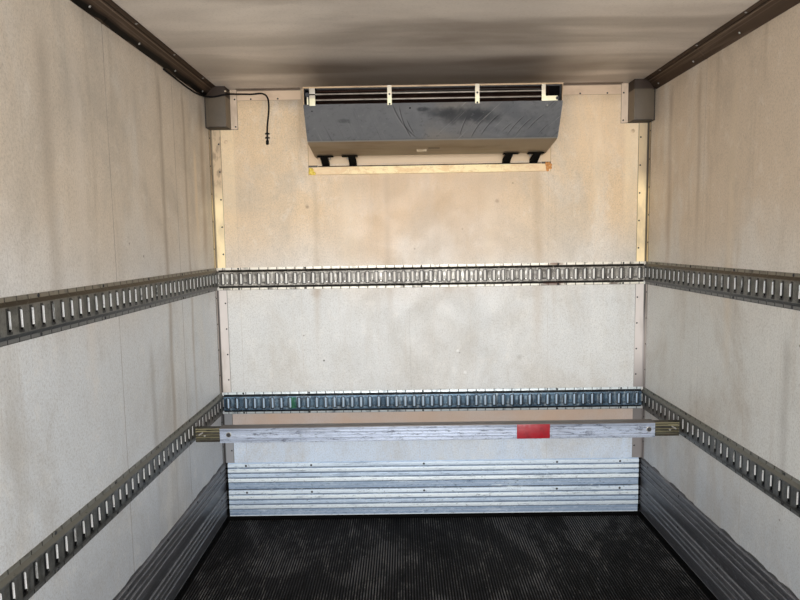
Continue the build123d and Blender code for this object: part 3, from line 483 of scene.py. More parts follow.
def trackFinish(name, wall, level, anchor, tones):  # tones: web, dark, slope, foot, lip
    made = Finish(name, tones["web"], 0.42, Metallic=0.35)
    pockets = wall == "front"
    middle, pitch = room["floor"] + lining[level], 0.0508
    along, across = (made.x, made.y) if pockets else (made.y, made.x)
    deep = abs(across - room[wall])
    rise = made.z - middle
    tall = abs(rise)
    turn = made.math("FRACT", (along - (anchor - 100 * pitch)) / pitch)
    run = turn * pitch  # 0 at a slot's middle, up to the next one
    cloud = made.noise(16, detail=6, rough=0.7, warp=0.3)
    made.paint(cloud.step(0.42, 0.66, 0.9), tones["dark"])
    each = made.noise(2.3, (9, 9, 0.4), 2, shift=(5, 1, 2))
    made.paint(each.step(0.5, 0.66, 0.5), tones["dark"])
    made.paint(made.noise(60, (1, 1, 0.2), 4).step(0.5, 0.75, 0.45), tones["foot"])
    grit = made.noise(170, detail=3, rough=0.8)
    made.paint(grit.step(0.52, 0.7, 0.5), tones["slope"])
    near = made.math("PINGPONG", run, pitch / 2)  # how far the nearest slot's middle is
    if pockets:
        away = abs(run - pitch / 2)
        # painted shade round each pocket's rim and in its lower part
        edge = away.step(0.007, 0.0105) * away.step(0.014, 0.0118) * tall.step(0.03, 0.026)
        made.paint(edge * 0.75, tones["slope"])
        hollow = away.step(0.0105, 0.008) * rise.step(-0.0275, -0.025) * rise.step(-0.015, -0.02)
        made.paint(hollow * 0.7, tones["slope"])
        # painted highlight on each pocket's lower slope, which faces up
        spot = away.step(0.0055, 0.0035) * rise.step(-0.026, -0.0235) * rise.step(-0.017, -0.0205)
        made.paint(spot * made.noise(3, (4, 4, 1)).step(0.42, 0.52) * tones["spotHighlight"], tones["lip"])
        glare = away.step(0.008, 0.004) * rise.step(-0.005, 0.01) * rise.step(0.028, 0.022)
        made.paint(glare * each.step(0.4, 0.55, 0, tones["glare"]), tones["lip"])
        # painted shade round each slot's edge
        made.paint(near.step(0.0116, 0.0098) * tall.step(0.0345, 0.033) * 0.85, tones["slope"])
        lipTop, lipEnd = 0.0102, 0.0315
    else:  # the slots' near sides and lower ends are in shadow
        below = near.step(0.01, 0.0085) * rise.step(-0.037, -0.035) * rise.step(-0.027, -0.029)
        made.paint(below * 0.92, tones["slope"])
        rim = run.step(pitch - 0.015, pitch - 0.013) * tall.step(0.036, 0.034)
        made.paint(rim * 0.92, tones["slope"])
        # near black painted shade deep inside each slot
        made.paint(deep.step(0.0121, 0.0118) * tall.step(0.033, 0.032), (7, 7, 7))
        lipTop, lipEnd = 0.0119, 0.0262
    slotCount = made.math("FLOOR", (along - anchor) / pitch + 0.5)
    chance = made.out("ShaderNodeTexWhiteNoise", {"W": slotCount}, "Value", noise_dimensions="1D")
    lip = deep.step(lipTop, lipTop - 0.0003) * deep.step(lipTop - 0.0067, lipTop - 0.006)
    lip = lip * tall.step(lipEnd + 0.001, lipEnd)
    if not pockets:  # each slot's painted highlight stops short of its lower end, which stays in painted shade for a different length
        lowEnd = made.math("FRACT", chance * 7.0) * tones["short"]
        ragged = made.noise(150, detail=3) * 0.006
        above = rise - (lowEnd + ragged)
        lip = lip * above.step(-0.027, -0.0262)
    # painted shade on the front slots' inner sides; painted highlight on the side slots' far inner walls, dimmed on
    # some slots below
    made.paint((lip * 0.85) if pockets else lip, tones["slope" if pockets else "lip"])
    dull = chance.step(tones["dull"], tones["dull"] + 0.1)
    made.paint(lip * dull * made.noise(90, (1, 1, 0.4), 4).step(0.35, 0.6, 0.25, 0.95), tones["dark"])
    # painted shade on the hat's slopes, near black on the front tracks; the lower side tracks' top slopes, which face
    # up, are painted lighter
    slope = tall.step(0.038, 0.0392) * tall.step(0.0515, 0.05)
    made.paint(slope * 0.96, tones["bend"])
    if not pockets:  # painted shade: the lower half, which faces down, stays a flat dark grey
        made.paint(slope * rise.step(0, -0.001), (60, 61, 60))
    foot = tall.step(0.0503, 0.0512)
    made.paint(foot, tones["foot"])
    made.paint(foot * made.noise(22, detail=5).step(0.52, 0.72, 0.7), tones["dark"])
    if not pockets:
        made.paint(foot * rise.step(0, -0.001) * 0.85, (110, 111, 110))
    flecks = made.noise(75, detail=5, rough=0.8)
    made.paint(flecks.step(0.58, 0.68, 0.45), tones["foot"])
    made.paint(flecks.step(0.42, 0.32, 0.55), tones["slope"])
    # painted shade in the notches at the slots' middles, and a painted shadow line along the lower edge
    made.paint(foot * near.step(0.0026, 0.0016) * 0.85, tones["slope"])
    made.paint(rise.step(-0.06, -0.0612) * 0.55, tones["slope"])
    for place, reach, low, high, colour in tones.get("marks", ()):
        ragged = (made.noise(70, detail=6) - 0.5) * (reach * 1.6)
        beside = abs(along + ragged - place)
        within = made.z.band(middle + low, middle + high, 0.003)
        made.paint(beside.step(reach, reach * 0.4) * within * 0.8, colour)
    made.relief(made.noise(120, detail=3), 0.0003)
    return made


def scuffFinish(name, base, bright, dark, run, bands):  # bands by height are painted highlights on the ridges' crests, with painted shade in the grooves and streaks along the plates
    made = Finish(name, base, 0.38, Metallic=0.2)
    stretch, fine = ((0.12, 1, 1), (0.35, 1, 1)) if run == "x" else ((1, 0.12, 1), (1, 0.35, 1))
    up = made.z - (room["floor"] + 0.025)
    below = 0.16 - (up + 0.00001) % 0.16
    streak = made.noise(34, stretch, 7, 0.75)
    patch = made.noise(3.2, stretch, 5, 0.6, shift=(3, 1, 4))
    for low, high, strength in bands:
        crest = below.step(low - 0.002, low + 0.001) * below.step(high + 0.002, high - 0.001)
        made.paint(crest * patch.step(0.25, 0.6, strength, strength * 0.45), bright)
    made.paint(below.step(0.117, 0.121, 0.36), dark)
    # painted shade in the grooves between the ridges
    for place in (0.031, 0.062, 0.0905, 0.118):
        groove = abs(below - place).step(0.0036, 0.0016)
        made.paint(groove * 0.75, [c * 0.45 for c in dark])
    joint = abs(up - 0.16).step(0.005, 0.002)
    made.paint(joint * 0.9, [c * 0.3 for c in dark])
    made.paint(streak.step(0.52, 0.7, 0.62), dark)
    made.paint(streak.step(0.46, 0.32, 0.6), bright)
    made.paint(up.step(0.16, 0.06, 0.22), dark)
    made.paint(up.step(0.006, 0.003, 0.8), bright)
    fleck = made.noise(120, fine, 4, 0.8)
    made.paint(fleck.step(0.56, 0.68) * patch.step(0.35, 0.6, 0.75, 0.2), [c * 0.5 for c in dark])
    made.paint(fleck.step(0.42, 0.34, 0.5), bright)
    rubbed = made.cells(16, stretch).step(0.1, 0.03) * up.step(0.075, 0.03)
    made.paint(rubbed * 0.7, [c * 0.3 for c in dark])
    made.rough(patch.step(0.3, 0.7, 0.5, 0.3))
    made.relief(streak, 0.0006)
    return made


def ceilingFinish():
    made = Finish("ceilingLining", (210, 198, 185), 0.45)
    across, along = made.x, made.y
    # painted shade and sheen of the lining's broad waves
    wave = made.noise(1.3, (0.35, 1, 1), 5, warp=0.8)
    made.paint(wave.step(0.44, 0.64, 0.66), (138, 125, 112))
    glow = made.noise(3.4, (0.25, 1, 1), 6, warp=0.6, shift=(3, 2, 1))
    made.paint(glow.step(0.54, 0.7, 0.6), (228, 216, 201))
    ripple = made.noise(3.4, (0.2, 1, 1), 3, 0.5, 0.5, (6, 6, 1))
    made.paint(ripple.step(0.46, 0.66, 0.5), (116, 103, 90))
    made.paint(ripple.step(0.48, 0.3, 0.55), (238, 227, 213))
    made.paint(across.step(-0.25, -1.0) * along.step(1.9, 1.2) * 0.45, (232, 221, 208))
    made.paint(across.step(0.25, 1) * along.step(1.9, 1.2) * 0.18, (232, 221, 208))
    wide = abs(across + (made.noise(2) - 0.5) * 0.5)
    # darker brown towards the front and the evaporator: soot, and painted shade
    sootAndShade = along.step(1.2, 1.8) * wide.step(0.95, 0.55)
    made.paint(sootAndShade * 0.34, (96, 74, 54))
    near = along.step(1.55, 1.76) * wide.step(0.85, 0.6)
    made.paint(near * 0.36, (66, 47, 32))
    middle = wide.step(0.8, 0.2) * along.step(1.6, 0.9)
    made.paint(middle * 0.22, (128, 118, 108))
    made.paint(made.noise(120, detail=5, rough=0.8).step(0.48, 0.72, 0.25), (120, 106, 92))
    made.paint(made.z.step(2.79, 2.8), (226, 227, 226))
    made.relief(made.noise(2.2, (0.25, 1, 1), 3), 0.006, 0.6)
    made.relief(made.noise(150, detail=2), 0.0004)
    return made


def deckFinish():
    made = Finish("ribbedDeck", (49, 49, 50), 0.75, 0.15)
    cloud = made.noise(1.9, (1.5, 0.8, 1), 9, 0.7, 0.6)
    made.paint(cloud.step(0.5, 0.6, 0.85), (96, 96, 97))
    made.paint(cloud.step(0.46, 0.38, 0.75), (22, 22, 23))
    worn = made.noise(11, (1.8, 0.7, 1), 8, 0.8, 0.4)
    made.paint(worn.step(0.5, 0.64, 0.95) * cloud.step(0.4, 0.55, 1, 0.25), (112, 111, 109))
    dust = made.noise(75, (1.6, 0.8, 1), 5, 0.85)
    made.paint(dust.step(0.56, 0.68) * worn.step(0.42, 0.6, 0.9, 0.1), (150, 149, 146))
    brown = made.noise(1.6, shift=(5, 5, 5)).step(0.52, 0.64, 0.35) * made.y.step(1.5, 0.8)
    made.paint(brown, (70, 62, 56))
    # near black painted shade in the grooves between the ribs
    made.paint(made.z.step(room["floor"] - 0.0008, room["floor"] - 0.0028, 0.98), (2, 2, 2))
    made.relief(made.noise(260, detail=3), 0.0004)
    return made


def beamFinish():  # extruded aluminium tinted pale blue for painted sky light, with long streaks, grime on its face and a darker brown top
    made = Finish("beamSheet", (186, 196, 214), 0.42, Metallic=0.25)
    long = made.noise(48, (0.025, 1, 1), 5, 0.7)
    made.paint(long.step(0.5, 0.7, 0.75), (118, 126, 142))
    made.paint(long.step(0.46, 0.32, 0.7), (230, 238, 252))
    cloud = made.noise(6, (0.35, 1, 1), 7, 0.7, 0.3)
    made.paint(cloud.step(0.48, 0.68, 0.55), (146, 150, 162))
    grime = made.noise(70, (0.22, 1, 1), 6, 0.85)
    where = made.noise(2.4, shift=(4, 4, 4)).step(0.36, 0.5, 1, 0.25)
    made.paint(grime.step(0.51, 0.62, 0.85) * where, (74, 79, 91))
    made.paint(made.noise(130, (0.5, 1, 1), 4, 0.8).step(0.56, 0.7, 0.5), (90, 95, 108))
    up = made.z
    lines = ((1.0005, 0.0016, 0.45), (0.988, 0.001, 0.35), (0.9575, 0.0012, 0.5), (0.949, 0.001, 0.4))
    for level, half, strength in lines:
        line = abs(up - level).step(half * 1.5, half * 0.6)
        made.paint(line * strength, (84, 88, 100))
    made.paint(up.step(1.0098, 1.0106, 0.92), (94, 86, 79))
    made.paint(up.step(1.006, 1.0085) * up.step(1.0106, 1.0098) * 0.5, (70, 68, 70))
    made.relief(long, 0.0003)
    return made


def coveFinish():  # bands across the section: painted shadow near black at the wall on the left cove, brown on the slope, painted highlights along the bend and dark lines on the flange
    made = Finish("coveSheet", (82, 67, 55), 0.6, 0.08)
    out = room["right"] - abs(made.x)
    made.paint(made.noise(5, (1, 0.5, 1), 6).step(0.42, 0.66, 0.6), (62, 50, 41))
    made.paint(made.noise(30, (1, 0.06, 1), 5).step(0.5, 0.7, 0.5), (128, 110, 94))
    # painted shadow between the left cove and the wall
    ragged = out + (made.noise(9, (1, 0.5, 1), 6) - 0.5) * 0.016
    onLeft = made.x.step(0.5, -0.5, 1, 0.15)
    made.paint(ragged.step(0.029, 0.022) * onLeft * 0.8, (36, 28, 23))
    made.paint(ragged.step(0.0215, 0.0175) * onLeft.step(0.8, 0.9) * 0.97, (2, 2, 2))
    crumbs = out + (made.noise(16, (1, 0.4, 1), 6) - 0.5) * 0.03
    made.paint(crumbs.step(0.006, 0.003) * onLeft.step(0.8, 0.9) * 0.8, (84, 72, 60))
    # painted highlights along the bend, and dark lines on the flange
    for place, half, strength, colour in (
        (0.044, 0.0022, 0.6, (140, 122, 106)), (0.033, 0.002, 0.3, (122, 106, 92)),
        (0.0515, 0.0016, 0.8, (36, 28, 23)), (0.0605, 0.0014, 0.5, (54, 43, 35)), (0.068, 0.002, 0.7, (44, 34, 28)),
    ):
        line = abs(out - place).step(half, half * 0.4)
        made.paint(line * strength, colour)
    made.relief(made.noise(150, detail=2), 0.0003)
    return made


def headerFinish():  # tan strips, with painted shadow where they meet the ceiling and a darker line along their lower edge
    made = Finish("headerSheet", (212, 186, 158), 0.42)
    made.paint(made.noise(6, (1, 1, 2), 6).step(0.46, 0.68, 0.6), (184, 158, 134))
    up = made.z
    made.paint(up.step(room["ceiling"] - 0.011, room["ceiling"] - 0.004) * 0.8, (58, 45, 36))
    made.paint(up.step(room["ceiling"] - 0.0555, room["ceiling"] - 0.0572) * 0.7, (112, 92, 72))
    made.relief(made.noise(150, detail=2), 0.0003)
    return made


def strapFinish():  # cream straps and plates, greyer at the outlet's left end and toward the top
    made = Finish("creamStraps", (244, 232, 206), 0.42)
    made.paint(made.noise(14, detail=6).step(0.46, 0.7, 0.7), (212, 194, 162))
    made.paint(made.x.step(-0.5, -0.54, 0.85), (184, 175, 162))
    made.paint(made.z.step(2.6, 2.64) * 0.45, (168, 160, 148))
    made.paint(made.z.step(2.606, 2.59) * 0.6, (255, 250, 208))
    made.relief(made.noise(200, detail=2), 0.0002)
    return made


def boxFinish():  # dark covers whose flange on the front wall stays light
    made = Finish("cornerBoxSheet", (88, 77, 63), 0.6)
    made.paint(made.noise(9, detail=5).step(0.44, 0.66, 0.5), (74, 65, 53))
    aside = abs(made.x)
    # painted light on the side faces, so that they read as bright as the front face
    made.paint(aside.step(1.0893, 1.0888) * made.y.step(2.168, 2.166), (117, 104, 87))
    flange = aside.step(1.0882, 1.0872)
    made.paint(flange, (206, 184, 160))
    made.paint(flange * made.noise(20, (1, 1, 0.4), 5).step(0.46, 0.66, 0.6), (168, 146, 124))
    made.paint(aside.step(1.0525, 1.0508) * 0.85, (66, 52, 42))
    low = (made.z + made.noise(60) * 0.004).step(2.5455, 2.544)
    made.paint(low * 0.85, (26, 21, 18))
    made.paint(aside.step(1.1995, 1.202) * 0.9, (24, 19, 16))
    top = made.z.step(room["ceiling"] - 0.056, room["ceiling"] - 0.048) * aside.step(1.0874, 1.0884)
    made.paint(top * 0.95, (44, 31, 22))
    made.relief(made.noise(150, detail=2), 0.0003)
    return made


def coverFinish():
    made = Finish("evaporatorSheet", (146, 146, 147), 0.44, Metallic=0.2)
    patch = made.noise(4, (1, 1, 1.4), 7, 0.62, 0.8)
    made.paint(patch.step(0.44, 0.66, 0.6), (114, 116, 120))
    made.paint(made.noise(2.2, detail=4, shift=(3, 3, 1)).step(0.52, 0.66, 0.45), (172, 160, 146))
    for place, size, strength in evapStains:
        gap = made.out("ShaderNodeVectorMath", {0: made.point, 1: place}, operation="SUBTRACT")
        flat = made.out("ShaderNodeVectorMath", {0: gap, 1: (0.55, 1, 2.0)}, operation="MULTIPLY")
        away = made.out("ShaderNodeVectorMath", {0: flat}, "Value", operation="LENGTH")
        ragged = (made.noise(24) - 0.5) * size
        made.paint((away + ragged).step(size, size * 0.3, strength), (74, 76, 80))

    def tiltedLines(degrees, scale, detail):
        turn = {"Vector": made.point, "Rotation": (0, math.radians(degrees), 0), "Scale": (1, 1, 0.03)}
        point = made.out("ShaderNodeMapping", turn, vector_type="TEXTURE")
        return made.out("ShaderNodeTexNoise", {"Vector": point, "Scale": scale, "Detail": detail}, "Fac")

    lines, other = tiltedLines(-40, 3.2, 4), tiltedLines(65, 2.6, 3)
    where = made.x.step(-0.02, 0.1) * made.noise(3, shift=(1, 8, 2)).step(0.42, 0.6)
    made.paint(lines.step(0.6, 0.74, 0.75) * where, (196, 192, 188))
    made.paint(lines.step(0.4, 0.28, 0.6) * where, (78, 78, 80))
    left = made.x.step(0.05, -0.05) * made.noise(2.6, shift=(7, 2, 2)).step(0.42, 0.6)
    made.paint(other.step(0.6, 0.76, 0.45) * left, (190, 186, 182))
    made.paint(other.step(0.4, 0.28, 0.55) * left, (74, 74, 76))
    for (x0, z0), (x1, z1), wide in evapLines:  # painted shade along creases down the face, with a painted highlight beside each
        length = math.hypot(x1 - x0, z1 - z0)
        dx, dz = (x1 - x0) / length, (z1 - z0) / length
        xs, zs = made.x - x0, made.z - z0
        off = xs * dz - zs * dx
        down = xs * dx + zs * dz
        bend = down * (down - length) * 1.6
        near = abs(off + bend).step(wide, wide * 0.4)
        tall = down.step(-0.01, 0.02) * down.step(length + 0.01, length - 0.02)
        made.paint(near * tall * 0.62, (56, 54, 55))
        beside = abs(off + bend - wide * 1.5).step(wide * 0.8, wide * 0.3)
        made.paint(beside * tall * 0.4, (172, 168, 168))
    mottle = made.noise(34, (1, 1, 1.3), 6, 0.75)
    made.paint(mottle.step(0.55, 0.7, 0.5), (84, 84, 88))
    made.paint(mottle.step(0.42, 0.32, 0.4), (170, 168, 166))
    made.paint(made.z.step(2.4125, 2.4085), (194, 174, 144))
    under = made.z.step(2.412, 2.408)
    made.paint(under * made.noise(5, (0.3, 1, 1), 6).step(0.45, 0.68, 0.7), (150, 122, 92))
    streak = made.x.band(-0.016, 0.044, 0.004) * made.z.band(2.389, 2.3925, 0.0008)
    made.paint(streak * 0.7, (84, 66, 48))
    fold = abs(made.z - 2.4125).step(0.0035, 0.001)
    made.paint(fold * 0.6, (214, 206, 194))
    made.rough(patch.step(0.3, 0.7, 0.55, 0.36))
    made.relief(lines, 0.0004)
    made.relief(made.noise(7, detail=3), 0.0025, 0.6)
    return made


def flangeFinish():  # bright cream on the strip, and the wall's own tan above it
    made = Finish("creamFlange", (252, 230, 174), 0.4)
    made.paint(made.noise(9, (1, 1, 2.2), 8, 0.7, 0.4).step(0.46, 0.62, 0.75), (232, 190, 132))
    made.paint(made.noise(26, (1, 1, 1.6), 6, 0.8).step(0.52, 0.66, 0.5), (206, 162, 112))
    made.paint(abs(made.x).step(0.3, 0.6, 0.6), (226, 192, 156))
    made.paint(made.z.step(2.335, 2.3365), (212, 184, 148))
    above = abs(made.z - 2.335).step(0.0062, 0.0042)
    made.paint(above * 0.94, (16, 12, 10))
    edge = abs(made.z - 2.2885).step(0.0022, 0.0008)
    made.paint(edge * 0.5, (150, 118, 84))
    seam = abs(abs(made.x) - 0.6685).step(0.0022, 0.0008)
    made.paint(seam * 0.6, (120, 94, 68))
    made.relief(made.noise(150, detail=3), 0.0006)
    return made


def zincFinish():  # dull yellow zinc, with painted highlights along its upper edges
    made = Finish("yellowZinc", (70, 67, 51), 0.5, Metallic=0.15)
    made.paint(made.noise(26, (0.6, 1, 1.6), 6).step(0.42, 0.6, 0.9), (34, 30, 22))
    made.paint(made.noise(12, detail=5, shift=(2, 2, 2)).step(0.52, 0.66, 0.6), (86, 68, 52))
    up = made.z
    edges = ((1.0045, 1.009, 0.8), (0.9915, 0.9975, 0.6), (0.9755, 0.9785, 0.5), (0.9628, 0.966, 0.5))
    for low, high, strength in edges:
        made.paint(up.band(low, high, 0.0008) * strength, (166, 158, 122))
    made.paint(up.step(0.95, 0.945, 0.5), (44, 38, 30))
    made.relief(made.noise(160, detail=3), 0.0003)
    return made


def trimFinish():  # brown and bright above the upper track, whitish between the tracks, grey below
    made = Finish("cornerTrims", (214, 206, 200), 0.4, Metallic=0.15)
    up, across = made.z, made.x
    made.paint(up.step(0.98, 0.94), (150, 151, 154))
    left = across.step(0, -0.1)
    made.paint(up.step(1.72, 1.76) * left, (252, 232, 186))
    made.paint(up.step(2.1, 2.26) * left * 0.75, (172, 146, 124))
    spots = made.noise(42, (1, 1, 0.5), 6).step(0.47, 0.66, 0.7)
    made.paint(up.step(2.1, 2.34) * spots * left, (104, 84, 70))
    made.paint(up.step(1.72, 1.76) * across.step(0, 0.1), (255, 232, 184))
    made.paint(up.step(2.17, 2.3) * across.step(0, 0.1) * 0.65, (170, 149, 124))
    made.paint(made.noise(9, (1, 1, 0.4), 6).step(0.5, 0.72, 0.5), (150, 134, 116))
    aside = abs(across)
    rim = abs(aside - (room["right"] - 0.0575)).step(0.0034, 0.0014)
    made.paint(rim * 0.72, (46, 38, 32))
    made.paint(aside.step(1.193, 1.199) * made.y.step(2.16, 2.168) * 0.9, (34, 27, 23))
    made.paint(made.y.step(2.1475, 2.145) * 0.8, (40, 32, 27))
    made.paint(left * up.step(1.72, 1.76) * 0.14, (255, 232, 190))
    right = across.step(0, 0.1) * up.step(1.72, 1.68)
    made.paint(right * up.step(1.56, 1.36) * 0.55, (214, 207, 203))
    made.paint(right * up.step(1.34, 1.02) * 0.8, (122, 116, 114))
    made.relief(made.noise(130, detail=2), 0.0003)
    return made


evapStains = (  # where, size and strength
    ((0.15, 1.75, 2.515), 0.1, 0.75), ((0.24, 1.76, 2.505), 0.07, 0.6), ((0.04, 1.75, 2.53), 0.06, 0.5),
    ((-0.047, 1.74, 2.543), 0.024, 0.8), ((-0.437, 1.77, 2.5), 0.025, 0.5),
)
evapLines = (  # from (x, z) to (x, z), and width
    ((-0.19, 2.56), (-0.082, 2.425), 0.0042), ((-0.16, 2.555), (-0.105, 2.425), 0.0036),
    ((-0.125, 2.5), (-0.09, 2.44), 0.003), ((0.165, 2.505), (0.135, 2.43), 0.0034),
    ((0.24, 2.491), (0.192, 2.42), 0.0034), ((0.316, 2.512), (0.24, 2.43), 0.0034),
    ((0.384, 2.478), (0.343, 2.444), 0.0024), ((0.439, 2.505), (0.37, 2.43), 0.0028),
    ((0.48, 2.498), (0.411, 2.43), 0.0026), ((0.535, 2.512), (0.466, 2.45), 0.0028),
    ((0.56, 2.47), (0.52, 2.43), 0.0022),
)
lining = {  # how the aged lining is tinted, with painted warm light above, painted sky light below and painted light and shade behind the slots, and where the tracks' middles are above the floor
    "front": {
        "upper": (226, 198, 160), "middle": (214, 215, 213), "lower": (206, 221, 239), "cloud": (186, 176, 160),
        "run": (176, 150, 116), "slots": {"upper": (250, 246, 236), "lower": (204, 228, 250)}, "sootAndShade": (0.55, 0.15),
        "skin": (2.2, 2.24),
    },
    "left": {
        "upper": (221, 208, 191), "middle": (221, 226, 230), "lower": (196, 202, 209), "cloud": (178, 172, 162),
        "run": (158, 142, 120), "slots": {"upper": (92, 92, 90), "lower": (92, 92, 90)}, "sootAndShade": (0.16, 0),
        "skin": (-1.24, -1.27),
    },
    "right": {
        "upper": (219, 201, 179), "middle": (224, 225, 221), "lower": (200, 205, 209), "cloud": (182, 168, 150),
        "run": (162, 140, 112), "slots": {"upper": (92, 92, 90), "lower": (92, 92, 90)}, "sootAndShade": (0.16, 0),
        "skin": (1.24, 1.27),
    },
    "upper": 1.4112, "lower": 0.6976,
}
shade = {
    "frontUpper": {
        "web": (150, 146, 138), "dark": (84, 79, 73), "slope": (34, 31, 29), "bend": (22, 20, 18),
        "foot": (232, 226, 212), "lip": (250, 248, 242), "dull": 0.86, "glare": 0.5, "spotHighlight": 1,
        "marks": ((0.69, 0.075, -0.062, -0.046, (84, 50, 40)), (1.03, 0.04, -0.062, -0.05, (70, 46, 38)),
                  (0.7, 0.06, 0.052, 0.064, (120, 92, 72))),
    },
    # the lower front track's blue tones are painted sky light on the galvanised steel
    "frontLower": {
        "web": (104, 132, 154), "dark": (50, 72, 92), "slope": (20, 27, 34), "bend": (16, 22, 27),
        "foot": (210, 218, 220), "lip": (206, 226, 242), "dull": 0.86, "glare": 0.3, "spotHighlight": 0.15,
        "marks": ((-0.797, 0.024, -0.032, 0.033, (30, 108, 70)),),
    },
    "sideUpper": {
        "web": (112, 112, 107), "dark": (70, 70, 65), "slope": (14, 14, 13), "bend": (66, 60, 51),
        "foot": (128, 124, 113), "lip": (255, 255, 253), "dull": 0.8, "short": 0.005,
    },
}
# the lower side tracks' bend is lighter because their top slopes face up: painted light
shade["sideLower"] = dict(shade["sideUpper"], short=0.011, web=(100, 101, 99), bend=(104, 103, 95),
                          foot=(120, 119, 110))


